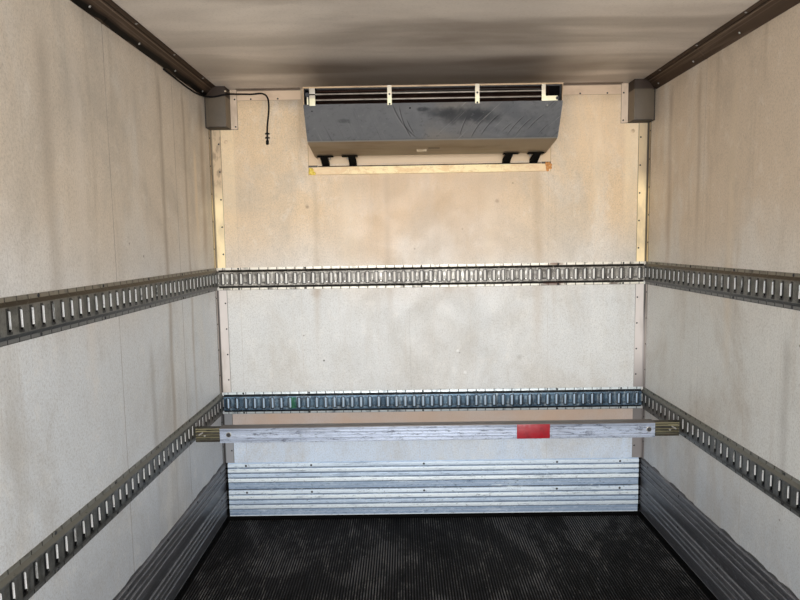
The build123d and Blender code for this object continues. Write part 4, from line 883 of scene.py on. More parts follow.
finishes = {
    "frontLining": liningFinish(
        "front",
        seams=((0.6575, 0.0012, 0.5, (150, 132, 110)), (-1.0755, 0.002, 0.4, (150, 132, 110))),
        streaks=(
            (-0.235, 0.03, 2.75, 1.3, 0.4, (164, 150, 132)), (-0.02, 0.05, 2.72, 1.9, 0.35, (178, 160, 138)),
            (0.6, 0.045, 2.45, 1.15, 0.4, (172, 148, 118)), (-0.64, 0.03, 2.35, 1.2, 0.35, (172, 152, 124)),
            (0.33, 0.06, 2.3, 1.5, 0.35, (238, 222, 196)), (-0.45, 0.08, 2.3, 1.5, 0.35, (238, 222, 196)),
            (0.93, 0.05, 2.6, 1.75, 0.3, (236, 218, 190)), (-0.12, 0.004, 1.6, 0.75, 0.35, (150, 146, 138)),
        ),
        stains=(
            (-0.684, 2.114, 0.02, 0.7, (120, 92, 66)), (0.373, 2.13, 0.016, 0.7, (110, 84, 60)),
            (-0.613, 1.246, 0.009, 0.95, (52, 48, 44)), (0.149, 1.292, 0.012, 0.5, (248, 248, 246)),
            (0.191, 1.166, 0.012, 0.5, (248, 248, 246)), (0.16, 1.28, 0.008, 0.7, (110, 108, 104)),
            (0.5, 1.25, 0.02, 0.35, (140, 134, 126)), (-0.64, 1.64, 0.06, 0.4, (150, 122, 92)),
            (0.1, 1.662, 0.05, 0.35, (150, 122, 92)),
        ),
    ),
    "leftLining": liningFinish(
        "left",
        seams=((0.985, 0.003, 0.8, (104, 88, 72)), (1.63, 0.0034, 0.85, (100, 84, 68)),
               (1.452, 0.003, 0.4, (120, 102, 84))),
        streaks=(
            (1.47, 0.03, 2.7, 0.8, 0.55, (148, 130, 108)), (1.76, 0.025, 2.7, 0.9, 0.5, (150, 130, 104)),
            (1.9, 0.035, 2.45, 1.75, 0.6, (236, 216, 184)), (2.02, 0.05, 2.7, 1.6, 0.5, (150, 126, 98)),
            (0.6, 0.06, 2.6, 1.4, 0.35, (150, 138, 124)), (0.78, 0.05, 2.6, 1.2, 0.3, (226, 216, 204)),
            (1.25, 0.04, 1.55, 0.6, 0.4, (150, 146, 140)),
        ),
    ),
    "rightLining": liningFinish(
        "right",
        seams=((1.545, 0.0024, 0.4, (120, 100, 78)),),
        streaks=(
            (1.9, 0.04, 2.7, 1.6, 0.45, (146, 120, 92)), (1.6, 0.03, 2.7, 1.7, 0.4, (150, 126, 98)),
            (1.3, 0.05, 2.6, 1.2, 0.35, (226, 208, 182)), (0.9, 0.04, 1.6, 0.7, 0.4, (150, 144, 136)),
            (0.72, 0.03, 2.7, 1.5, 0.35, (156, 136, 112)),
        ),
    ),
    "ceiling": ceilingFinish(),
    "deck": deckFinish(),
    "white": agedFinish("whiteSkin", (225, 226, 226), (208, 208, 205), 0.25, 4, rough=(0.25, 0.4)),
    "mill": agedFinish("millAluminium", (188, 191, 194), (168, 171, 174), 0.3, 22, Metallic=0.45),
    "galvanised": agedFinish("galvanisedTrack", (150, 150, 148), (104, 103, 100), 0.5, 18, Metallic=0.45),
    "cornerTrims": trimFinish(),
    "cove": coveFinish(),
    "header": headerFinish(),
    "evaporator": coverFinish(),
    # the front plates' pale blue is painted sky light
    "frontScuff": scuffFinish(
        "frontScuffs", (188, 209, 234), (242, 251, 255), (90, 111, 138), "x",
        ((0.006, 0.026, 0.6), (0.036, 0.058, 0.95), (0.067, 0.086, 0.25), (0.094, 0.114, 0.95), (0.136, 0.141, 0.5)),
    ),
    "dark": agedFinish("blackSteel", (33, 28, 24), (56, 48, 42), 0.4, 12, shine=0.25),
    "rubber": agedFinish("blackRubber", (26, 26, 27), (48, 47, 46), 0.4, 12, rough=(0.6, 0.85)),
    "zinc": zincFinish(),
    "steel": agedFinish("sillSteel", (58, 60, 62), (40, 40, 42), 0.5, 6, rough=(0.5, 0.7)),
    "lip": agedFinish("outletLip", (186, 160, 128), (140, 116, 88), 0.4, 9),
    # near black: painted shade for deep pockets and gaps, also used for black parts
    "hollow": Finish("darkHollow", (4, 4, 4), 0.9, 0.1),
    "pale": agedFinish("creamSheet", (214, 196, 168), (186, 166, 138), 0.4, 5),
    "amber": agedFinish("amberLens", (226, 120, 22), (190, 92, 14), 0.3, 30, rough=(0.12, 0.25)),
    "red": agedFinish("redLens", (168, 22, 24), (130, 14, 18), 0.3, 30, rough=(0.12, 0.25)),
    "scuffed": scuffFinish(
        "sideScuffs", (84, 85, 89), (140, 142, 147), (56, 57, 60), "y",
        ((0.006, 0.009, 0.5), (0.035, 0.038, 0.6), (0.064, 0.067, 0.45), (0.093, 0.096, 0.7), (0.124, 0.127, 0.5)),
    ),
    "boxSheet": boxFinish(),
    "stud": agedFinish("fixingHeads", (170, 168, 164), (120, 116, 110), 0.4, 60, Metallic=0.6),
    "darkStud": agedFinish("darkFixingHeads", (42, 43, 46), (78, 78, 80), 0.4, 60, Metallic=0.2),
    "plug": agedFinish("wallPlugs", (222, 196, 162), (188, 162, 130), 0.4, 30),
    "coil": agedFinish("evaporatorCoil", (44, 26, 19), (62, 42, 32), 0.4, 10, rough=(0.7, 0.9), shine=0.15),
    "bar": agedFinish("outletBars", (146, 138, 128), (96, 88, 78), 0.4, 12, Metallic=0.4),
    "yellowFoam": agedFinish("yellowFoam", (232, 206, 92), (196, 160, 60), 0.5, 60),
    "orangeFoam": agedFinish("orangeFoam", (212, 148, 80), (170, 104, 54), 0.5, 60),
    "strap": strapFinish(),
    "flange": flangeFinish(),
    "leadSheath": Finish("leadSheath", (9, 8, 8), 0.65, 0.2),
    "beamSheet": beamFinish(),
    "redPlate": agedFinish("redPlate", (150, 16, 32), (112, 13, 26), 0.4, 20),
    "stainless": agedFinish("stainlessSheet", (180, 182, 184), (162, 164, 166), 0.3, 20, Metallic=0.55),
    "coilFins": agedFinish("coilFins", (120, 122, 124), (84, 84, 84), 0.4, 8, Metallic=0.5),
    "underside": agedFinish("panelUnderside", (150, 148, 142), (104, 100, 92), 0.5, 3),
}
print("finishes ready:", len(finishes))

for finishName, nodeNames in {
    "frontLining": "wall_front",
    "leftLining": "wall_left",
    "rightLining": "wall_right",
    "ceiling": "roof_panel",
    "deck": "floor_deck",
    "white": "corner_posts door_left door_right unit_housing",
    "underside": "floor_panel",
    "mill": "roof_rail bottom_rail rear_frame load_beam scuff_front scuff_left scuff_right hinge_straps_left "
            "hinge_straps_right hinge_brackets lock_rod_left lock_rod_right keepers",
    "galvanised": " ".join(name for name in cadNodes if name.startswith("track_")),
    "boxSheet": "corner_boxes",
    "header": "header_strips",
    "cornerTrims": "corner_trims",
    "cove": "coves",
    "evaporator": "evap_cover",
    "flange": "evap_flange",
    "dark": "evap_core evap_brackets sensor_lead sensor_clips unit_fan unit_guard unit_louvres",
    "rubber": "dock_bumpers door_seal_left door_seal_right",
    "zinc": "beam_end_left beam_end_right",
    "steel": "sills crossmembers",
    "pale": "outlet_bars",
    "amber": "lamps_amber",
    "red": "lamps_red",
}.items():
    for nodeName in nodeNames.split():
        coat(nodeName, finishName)


# Logistic tracks: a hat section with upright slots and pressed pockets between them

track = {
    "pitch": 0.0508, "slotWide": 0.014, "slotTall": 0.0603, "slotEdge": 0.0006, "slotDeep": 0.0085, "lip": 0.0012,
    "pocketWide": 0.0235, "pocketTall": 0.053, "pocketDeep": 0.002,
    "sheet": 0.0027, "depth": 0.0127, "web": 0.078, "foot": 0.1, "tall": 0.127,
    "tickWide": 0.0016, "tickDeep": 0.0016, "patch": 0.0117,
    "upper": 1.4112, "lower": 0.6976, "rearGap": 0.012, "frontShort": 0.0137,
    "firstSlot": {"left_upper": 0.0488, "right_upper": 0.0278, "left_lower": 0.0168, "right_lower": 0.0168},
}


def stadium(across, up):  # a loop of ten points, from the lower right
    arcs = [[(across * math.cos(a), end * (up - across) + end * across * math.sin(a))
             for a in (math.radians(45 * n) for n in (1, 2, 3))] for end in (1, -1)]
    right, left = [(across, across - up), (across, up - across)], [(-across, up - across), (-across, across - up)]
    return right + arcs[0] + left + arcs[1][::-1]


def frameLoop(across, up, inner):  # the same ten points on a rectangle
    tops, lows = [(c, up) for c in reversed(inner)], [(c, -up) for c in inner]
    return [(across, -up), (across, up)] + tops + [(-across, up), (-across, -up)] + lows


def trackCell(place, deep):
    form = Form()
    known = {}

    def corner(u, v, w):
        spot = place(u, v, w)
        key = tuple(round(c, 6) for c in spot)
        if key not in known:
            known[key] = form.mesh.verts.new(spot)
        return known[key]

    def strip(first, firstDeep, second, secondDeep, shift=0):
        for number in range(len(first)):
            after = (number + 1) % len(first)
            spots = [(first[number], firstDeep), (first[after], firstDeep)]
            spots += [(second[after], secondDeep), (second[number], secondDeep)]
            form.mesh.faces.new([corner(u + shift, v, w) for (u, v), w in spots])

    half, tall, face = track["pitch"] / 2, track["web"] / 2 - 0.0015, track["depth"]
    back = face - track["sheet"]
    slotInner, pocketInner = [-track["tickWide"], 0, track["tickWide"]], [-0.005, 0, 0.005]
    slotFrame = frameLoop(track["patch"], tall, slotInner)
    pocketHalf = half - track["patch"]
    pocketFrame = frameLoop(pocketHalf, tall, pocketInner)
    edge, wide, high = track["slotEdge"], track["slotWide"] / 2, track["slotTall"] / 2
    lip, deepest = track["lip"], face - track["slotDeep"]
    loops = [(slotFrame, face), (stadium(wide + edge, high + edge), face), (stadium(wide, high), face - edge)]
    loops += [(stadium(wide, high), deepest), (stadium(wide + lip, high + lip), deepest)]
    loops += [(stadium(wide + lip, high + lip), back), (slotFrame, back)]
    for first, second in zip(loops, loops[1:]):
        strip(*first, *second)
    across, up = track["pocketWide"] / 2, track["pocketTall"] / 2
    steps = [(0, 0), (0.0012, 0.25), (0.0034, 1)]
    rings = [(stadium(across - inward, up - inward), face - share * deep) for inward, share in steps]
    strip(pocketFrame, face, *rings[0], half)
    for first, second in zip(rings, rings[1:]):
        strip(*first, *second, half)
    form.mesh.faces.new([corner(u + half, v, rings[-1][1]) for u, v in rings[-1][0]])
    form.mesh.faces.new([corner(u + half, v, back) for u, v in pocketFrame])
    columns = [-track["patch"], *slotInner, track["patch"], *[c + half for c in pocketInner], 2 * half - track["patch"]]
    foot, thick, outer = track["foot"] / 2, track["sheet"], track["tall"] / 2
    front = [(tall, face), (tall + 0.0022, face - 0.0007), (foot - 0.001, thick + 0.0008), (foot + 0.001, thick),
             (outer - 0.0006, thick), (outer, thick - 0.0006), (outer, 0)]
    rear = [(tall, back), (tall - 0.0002, back - 0.0002), (foot - 0.0028, 0.0004), (foot - 0.0022, 0), (outer, 0)]
    for section in (front, rear):
        for (v0, w0), (v1, w1) in zip(section, section[1:]):
            for c0, c1 in zip(columns, columns[1:]):
                for side in (1, -1):
                    spots = []
                    for u, v, w in ((c0, v0, w0), (c1, v0, w0), (c1, v1, w1), (c0, v1, w1)):
                        notch = section is front and u == 0 and v > foot and w > 0
                        spots.append(corner(u, side * v, w - (track["tickDeep"] if notch else 0)))
                    if len(set(spots)) == 4:
                        form.mesh.faces.new(spots)
    return form


def cutEnds(mesh, axis, start, end):  # trims a run to length and closes its ends
    made = bmesh.new()
    made.from_mesh(mesh)
    for place, direction in ((start, -1), (end, 1)):
        normal = [direction * (n == axis) for n in range(3)]
        spot = [place * (n == axis) for n in range(3)]
        everything = list(made.verts) + list(made.edges) + list(made.faces)
        bmesh.ops.bisect_plane(made, geom=everything, plane_co=spot, plane_no=normal, clear_outer=True, dist=1e-6)
    bmesh.ops.holes_fill(made, edges=[e for e in made.edges if e.is_boundary], sides=0)
    bmesh.ops.recalc_face_normals(made, faces=made.faces)
    made.to_mesh(mesh)
    made.free()
    return mesh


def makeTrack(wall, level):
    middle = room["floor"] + track[level]
    place = {
        "front": lambda u, v, w: (u, room["front"] - w, middle + v),
        "left": lambda u, v, w: (room["left"] + w, u, middle + v),
        "right": lambda u, v, w: (room["right"] - w, u, middle + v),
    }[wall]
    if wall == "front":
        end = room["right"] - track["frontShort"]
        start, anchor, axis = -end, 0, 0
    else:
        start, end, axis = room["rear"] + track["rearGap"], room["front"], 1
        anchor = end - track["firstSlot"][wall + "_" + level]
    before = math.ceil((anchor - start) / track["pitch"]) + 1
    after = math.ceil((end - anchor) / track["pitch"]) + 1
    first = anchor - before * track["pitch"]
    form = trackCell(lambda u, v, w: place(u + first, v, w), track["pocketDeep"] if wall == "front" else 0.0004)
    step = [track["pitch"] * (n == axis) for n in range(3)]
    tones = shade[("front" if wall == "front" else "side") + level.capitalize()]
    finish, node = wall + level.capitalize() + "Track", "track_" + wall + "_" + level
    finishes[finish] = trackFinish(finish, wall, level, first, tones)
    mesh = repeated(form, before + after + 1, step, finish)
    dressed(node + "_run", cutEnds(mesh, axis, start, end), finish, node, crease=30)


for wallName in ("front", "left", "right"):
    for levelName in ("upper", "lower"):
        makeTrack(wallName, levelName)
print("tracks made")


# Scuff plates: two rows of ridged aluminium on three walls

scuff = {
    "low": 0.025, "row": 0.16, "thick": 0.004, "ridge": 0.006, "pitch": 0.0292, "foot": 0.0262, "crest": 0.0185,
    "first": 0.0165, "count": 4, "lap": 0.0015, "short": 0.0195, "soft": 0.002,
}


def scuffSection(wallAt, inward):
    low, row, thick, lap = scuff["low"], scuff["row"], scuff["thick"], scuff["lap"]
    foot, crest, rise = scuff["foot"] / 2, scuff["crest"] / 2, thick + scuff["ridge"]
    points = [(0, low + 2 * row), (thick, low + 2 * row)]
    for top in (low + 2 * row, low + row):
        if top == low + row:  # the lap between the rows
            points += [(thick, top + lap), (lap, top + lap / 2), (thick, top)]
        for number in range(scuff["count"]):
            mid = top - scuff["first"] - number * scuff["pitch"]
            points += [(thick, mid + foot), (rise, mid + crest), (rise, mid - crest), (thick, mid - foot)]
    points += [(thick, low), (0, low)]
    softer = {n: scuff["soft"] for n in range(2, len(points) - 2)}
    return rounded([(wallAt + inward * across, room["floor"] + up) for across, up in points], softer)


def makeScuff(wall):
    form = Form()
    if wall == "front":
        half = room["right"] - scuff["short"]
        form.prism("x", scuffSection(room["front"], -1), -half, half)
    else:
        inward = 1 if wall == "left" else -1
        form.prism("y", scuffSection(room[wall], inward), room["rear"] + 0.012, room["front"])
    finish = "frontScuff" if wall == "front" else "scuffed"
    form.piece("scuff_" + wall + "_plates", finish, "bare_aluminium", "scuff_" + wall, crease=50)


for wallName in ("front", "left", "right"):
    makeScuff(wallName)
print("scuff plates made")


# Floor deck with its fine ribs, and a near-black strip round it, painted shade of the gap where the deck meets the
# walls

deck = {
    "pitch": 0.01315, "ribWide": 0.0066, "ribTop": 0.0046, "ribHigh": 0.0045, "sink": 0.0004,
    "gapShadeThick": 0.005, "gapShadeHigh": 0.0235,
}


def makeDeck():
    left, right, rear, front, floor = (room[key] for key in ("left", "right", "rear", "front", "floor"))
    low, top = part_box("floor_deck")[0].z, floor - deck["ribHigh"]
    form = Form()
    form.block((left, rear, low), (right, front, top), 0)
    form.piece("floor_deck_plate", "deck", "deck", "floor_deck")
    count = int((right - left - 0.02) / deck["pitch"])
    first = -(count - 1) / 2 * deck["pitch"]
    wide, crest = deck["ribWide"] / 2, deck["ribTop"] / 2
    half = [(wide, top - deck["sink"]), (wide, top), (crest, floor - 0.0007), (crest - 0.0007, floor)]
    ribs = Form()
    ribs.prism("y", mirrored(first, half), rear + 0.001, front - 0.001)
    dressed("floor_deck_ribs", repeated(ribs, count, (deck["pitch"], 0, 0), "deck"), "deck", crease=60)
    # a near-black strip: painted shade of the gap under the scuff plates and in the front corners
    gapShade = Form()
    low, high, thick = floor - 0.003, floor + deck["gapShadeHigh"], deck["gapShadeThick"]
    gapShade.block((left, front - thick, low), (right, front, high), 0.001)
    for edge, inward in ((left, 1), (right, -1)):
        gapShade.block((edge, rear + 0.012, low), (edge + inward * thick, front - thick, high), 0.001)
        gapShade.block((edge, front, high), (edge + inward * 0.02, front - 0.0035, floor + 0.345), 0.0005)
    gapShade.piece("shadow_gap_strip", "hollow", "deck")


makeDeck()
print("deck made")


# Coves and corner boxes, with fixings on the coves, corner trims, tracks and scuff plates, and the wall plugs

corners = {
    "rivetPitch": 0.152, "trimRivetIn": 0.0455, "returnRivetIn": 0.022, "rivetRadius": 0.0048, "rivetHigh": 0.0018,
    "coveScrewPitch": 0.383, "leftJoint": 0.985, "rightJoint": 1.545,
}

softenedNode("coves", "cove", "cove", 0.0016)
softenedNode("corner_boxes", "boxSheet", "trim", 0.0018)


def coveFixings():
    spots, collars = [], Form()
    for hand, joint in ((-1, corners["leftJoint"]), (1, corners["rightJoint"])):
        for number in range(12):
            along = 2.02 - number * corners["coveScrewPitch"]
            # one screw in the lower edge of the slope and one in the flange on the ceiling
            spots.append(((hand * (room["right"] - 0.0185), along, room["ceiling"] - 0.0405), (-hand * 0.75, 0, -0.66)))
            flange = (hand * (room["right"] - 0.061), along - 0.12, room["ceiling"] - 0.0056)
            spots.append((flange, (0, 0, -1)))
        outline = [(0.069, 0.0046), (0.052, 0.0078), (0.0505, 0.0128), (0.0448, 0.0128), (0.0072, 0.0528)]
        outline += [(0.0055, 0.0556), (0, 0.0556), (0, 0.001), (0.069, 0.001)]
        section = [(hand * (room["right"] - a), room["ceiling"] - b) for a, b in outline]
        collars.prism("y", section, joint - 0.004, joint + 0.004, 0.0003)
    heads("cove_screws", "rivet", spots, "stud", 0.0052, 0.0028)
    collars.piece("cove_joints", "cove", "cove")


coveFixings()


def trimFixings():
    spots, edge, face = [], room["right"], room["front"] - 0.002
    for hand in (-1, 1):
        for low, high in ((0.345, 0.6341), (0.7611, 1.3477), (1.4747, 2.232)):
            count = max(2, round((high - low) / corners["rivetPitch"]))
            for number in range(count):
                up = room["floor"] + low + (high - low) / count * (number + 0.5)
                spots.append(((hand * (edge - corners["trimRivetIn"]), face, up), (0, -1, 0)))
                across = (hand * (edge - 0.002), room["front"] - corners["returnRivetIn"], up + 0.03)
                spots.append((across, (-hand, 0, 0)))
        for across, down in ((edge - 0.1435, 0.05), (edge - 0.1435, 0.197), (0.974, 0.05), (0.826, 0.05)):
            spots.append(((hand * across, face, room["ceiling"] - down), (0, -1, 0)))
    heads("trim_rivets", "rivet", spots, "darkStud", corners["rivetRadius"], corners["rivetHigh"])
    plugs = [((x, room["front"], z), (0, -1, 0)) for x, z in ((-1.12, 2.476), (1.118, 2.498))]
    heads("wall_plugs", "rivet", plugs, "plug", 0.0115, 0.003)


trimFixings()


frontStuds = (-1.081, -0.703, -0.052, 0.716, 1.079)  # the same five columns on both tracks and both scuff plates


def wallRow(out, up, alongs):  # fixings on the three walls, as (point, facing) pairs
    spots = [((across, room["front"] - out, up), (0, -1, 0)) for across in frontStuds]
    for wall, inward in (("left", 1), ("right", -1)):
        spots += [((room[wall] + inward * out, along, up), (inward, 0, 0)) for along in alongs]
    return spots


def trackFixings():
    alongs = [2.02 - number * 7.5 * track["pitch"] for number in range(12)]
    spots = []
    for level in ("upper", "lower"):
        for side in (-1, 1):
            up = room["floor"] + track[level] + side * (track["foot"] / 2 + 0.0065)
            spots += wallRow(track["sheet"], up, alongs)
    heads("track_rivets", "rivet", spots, "darkStud", 0.0058, 0.0032)
    alongs = [2.06 - number * 0.384 for number in range(12)]
    spots = []
    for row in (1, 2):
        up = room["floor"] + scuff["low"] + row * scuff["row"] - 0.017
        spots += wallRow(scuff["thick"] + scuff["ridge"], up, alongs)
    heads("scuff_rivets", "rivet", spots, "darkStud", 0.0066, 0.003)


trackFixings()
print("corner pieces and fixings made")


# Evaporator: folded cover, outlet frame, coil, bars, straps and brackets

evap = {
    "half": 0.618, "outlet": 0.565, "front": 1.7255, "top": 2.653, "lip": 2.646, "faceTop": 2.57,
    "knee": (1.8225, 2.41), "back": (2.0655, 2.374), "sheet": 0.0025, "fold": 0.009,
    "columns": 76, "rowStep": 0.011, "wave": 0.0016, "finPitch": 0.0042, "finThick": 0.0009,
}
evapDents = [  # x, distance down the face, wide, tall, depth in metres
    (-0.15, 0.05, 0.04, 0.05, 0.0022), (-0.11, 0.11, 0.03, 0.06, -0.0018), (0.13, 0.07, 0.12, 0.03, 0.0026),
    (0.33, 0.12, 0.06, 0.04, 0.002), (-0.42, 0.1, 0.09, 0.05, 0.0018), (0.48, 0.06, 0.06, 0.06, -0.0016),
]
evapCreases = [  # from (x, down) to (x, down), width and depth in metres
    ((-0.178, 0.02), (-0.088, 0.165), 0.005, 0.0022), ((-0.15, 0.03), (-0.112, 0.17), 0.004, 0.0016),
    ((0.19, 0.165), (0.3, 0.08), 0.005, 0.002), ((0.3, 0.17), (0.47, 0.075), 0.005, 0.0016),
]


def evapDent(x, down):
    depth = 0.0
    for cx, cd, wide, tall, deep in evapDents:
        depth += deep * math.exp(-((x - cx) / wide) ** 2 - ((down - cd) / tall) ** 2)
    for (x0, d0), (x1, d1), wide, deep in evapCreases:
        line, spot = Vector((x1 - x0, d1 - d0)), Vector((x - x0, down - d0))
        share = max(0, min(1, spot.dot(line) / line.length_squared))
        depth += deep * math.exp(-((spot - line * share).length / wide) ** 2)
    for scale, height in ((3.1, 1), (9.0, 0.35)):
        wave = math.sin(x * scale * 5.1 + down * scale * 7.3 + 1.3) * math.cos(x * scale * 2.7 - down * scale * 9.1)
        depth += evap["wave"] * height * 0.5 * wave
    return depth


def evapPath():  # down the face, round the knee and back under, as (y, z) points about a row apart
    start, knee, end = Vector((evap["front"], evap["faceTop"])), Vector(evap["knee"]), Vector(evap["back"])
    first, second = (knee - start).normalized(), (end - knee).normalized()
    bend = [knee - first * evap["fold"], knee + (second - first) * evap["fold"] * 0.32, knee + second * evap["fold"]]
    path = []
    for a, b in ((start, bend[0]), (bend[0], bend[1]), (bend[1], bend[2]), (bend[2], end)):
        steps = max(1, round((b - a).length / evap["rowStep"]))
        path += [a.lerp(b, n / steps) for n in range(steps)]
    return path + [end]


def makeEvaporator():
    form = Form()
    sheet = bmesh.new()
    path, down, rows = evapPath(), 0, []
    whole = sum((b - a).length for a, b in zip(path, path[1:]))
    for number, spot in enumerate(path):
        if number:
            down += (spot - path[number - 1]).length
        ahead = path[min(number + 1, len(path) - 1)] - path[max(number - 1, 0)]
        inward = Vector((-ahead.y, ahead.x)).normalized()
        row = []
        for column in range(evap["columns"] + 1):
            x = evap["half"] * (2 * column / evap["columns"] - 1)
            edge = min(1, (evap["half"] - abs(x)) / 0.05, down / 0.02, (whole - down) / 0.03)
            depth = max(0, edge) * evapDent(x, down)
            row.append(sheet.verts.new((x, spot.x + inward.x * depth, spot.y + inward.y * depth)))
        rows.append(row)
    for upper, lower in zip(rows, rows[1:]):
        for n in range(evap["columns"]):
            sheet.faces.new((upper[n], lower[n], lower[n + 1], upper[n + 1]))
    bmesh.ops.solidify(sheet, geom=list(sheet.faces), thickness=evap["sheet"])
    form.take(sheet)
    side = [(room["front"], evap["top"]), (evap["front"], evap["top"]), (evap["front"], evap["faceTop"])]
    side += [evap["knee"], evap["back"], (room["front"], evap["back"][1])]
    for hand in (-1, 1):
        form.prism("x", side, hand * evap["half"], hand * (evap["half"] - evap["sheet"]), 0.0006)
    x, y = evap["half"], evap["front"]
    form.block((-x, y, evap["top"] - 0.002), (x, room["front"], evap["top"]), 0.0005)
    form.finish = 3  # the lip over the outlet and down its ends
    form.block((-x, y - 0.0006, evap["lip"] - 0.001), (x, y + 0.006, evap["top"] - 0.0004), 0.001)
    for hand in (-1, 1):
        low, high = (hand * x, y - 0.0006, evap["faceTop"] - 0.002), (hand * (x - 0.004), y + 0.02, evap["lip"])
        form.block(low, high, 0.0008)
    form.finish = 1  # the pale plates at the outlet's ends
    form.blocks(
        0.0008, ((-0.588, y, evap["faceTop"] - 0.006), (-0.56, y + 0.003, 2.613)),
        ((-0.588, y, 2.619), (-0.56, y + 0.003, evap["lip"])),
        ((-0.6, y + 0.001, evap["faceTop"]), (-0.593, y + 0.01, 2.608)),
        ((0.516, y - 0.002, 2.569), (0.535, y, evap["lip"])),
        ((0.516, y - 0.0025, 2.569), (0.592, y - 0.0005, 2.5915)),
    )
    form.finish = 2  # the pocket walls behind the outlet's ends, near black for painted shade
    for low, high in ((-0.6155, -0.56), (0.535, 0.6155)):
        form.block((low, y + 0.055, evap["faceTop"] - 0.02), (high, y + 0.058, evap["top"] - 0.002), 0)
    for low, high in ((-0.562, -0.559), (0.534, 0.537)):
        form.block((low, y + 0.003, evap["faceTop"]), (high, y + 0.058, evap["top"] - 0.002), 0)
    form.piece("evap_cover_sheet", "evaporator strap hollow lip", "evap_sheet", "evap_cover", crease=28)


def makeOutlet():
    form = Form()
    y = evap["front"]
    for level in (2.591, 2.618):
        form.block((-0.562, y + 0.002, level - 0.0036), (0.534, y + 0.01, level + 0.0036), 0.0026, 3)
    form.finish = 1
    for place in (-0.206, 0.211):
        outline = [(y - 0.002, 2.562), (y, 2.562), (y, 2.653), (y - 0.002, 2.653)]
        form.prism("x", outline, place - 0.0102, place + 0.0102, 0.0008)
    form.piece("outlet_bars_set", "bar strap", "stainless", "outlet_bars")
    spots = [((place, y - 0.002, level), (0, -1, 0)) for place in (-0.206, 0.211) for level in (2.612, 2.5665)]
    spots += [((0.59, y - 0.0005, 2.58), (0, -1, 0)), ((-0.597, y, 2.615), (0, -1, 0))]
    heads("outlet_screws", "bolt", spots[:4], "darkStud", 0.0034, 0.002)
    heads("outlet_bolts", "bolt", spots[4:], "darkStud", 0.008, 0.005)
    spots = [((0.546, 1.7385, 2.55), (0, -0.855, -0.518))]
    for x, z in ((-0.579, 2.543), (-0.109, 2.549)):
        spots.append(((x, 1.7265 + (2.57 - z) * 0.606, z), (0, -0.855, -0.518)))
    heads("cover_screw", "rivet", spots[:1], "stud", 0.0055, 0.003)
    heads("cover_plugs", "rivet", spots[1:], "darkStud", 0.005, 0.002)
    rod = [(-0.6, y + 0.012, 2.615), (-0.56, y + 0.014, 2.616), (-0.1, y + 0.016, 2.629), (0.3, y + 0.016, 2.632),
           (0.516, y + 0.014, 2.629), (0.533, y + 0.014, 2.628)]
    wires("outlet_rod", [rod], False, "dark", 0.003)


def makeCoil():
    front = evap["front"] + 0.04
    fin = Form()
    first = -evap["outlet"] + 0.004
    outline = [(front, evap["top"] - 0.004), (front, 2.56), (front + 0.085, 2.43), (front + 0.1, 2.43)]
    outline += [(front + 0.1, evap["top"] - 0.004)]
    fin.prism("x", outline, first, first + evap["finThick"])
    count = int(2 * evap["outlet"] / evap["finPitch"]) - 1
    mesh = repeated(fin, count, (evap["finPitch"], 0, 0), "coil")
    dressed("coil_fins", mesh, "coil", "evap_core")
    form = Form()
    half = evap["half"] - 0.003
    form.block((-evap["outlet"], front + 0.1, 2.44), (evap["outlet"], room["front"], 2.65), 0)
    for level in (2.6385, 2.6035, 2.578):
        form.block((-0.56, front - 0.0035, level - 0.003), (0.532, front + 0.004, level + 0.003), 0.002)
    form.piece("coil_core", "coil", "coil")
    plug = Form()
    plug.block((-half, room["front"] - 0.001, 2.348), (half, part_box("evap_core")[1].y, 2.65), 0)
    plug.finish = 1
    plug.block((-half, room["front"] - 0.006, 2.33), (half, room["front"] - 0.0005, 2.3355), 0)
    plug.piece("evap_plug", "flange hollow", "liner")


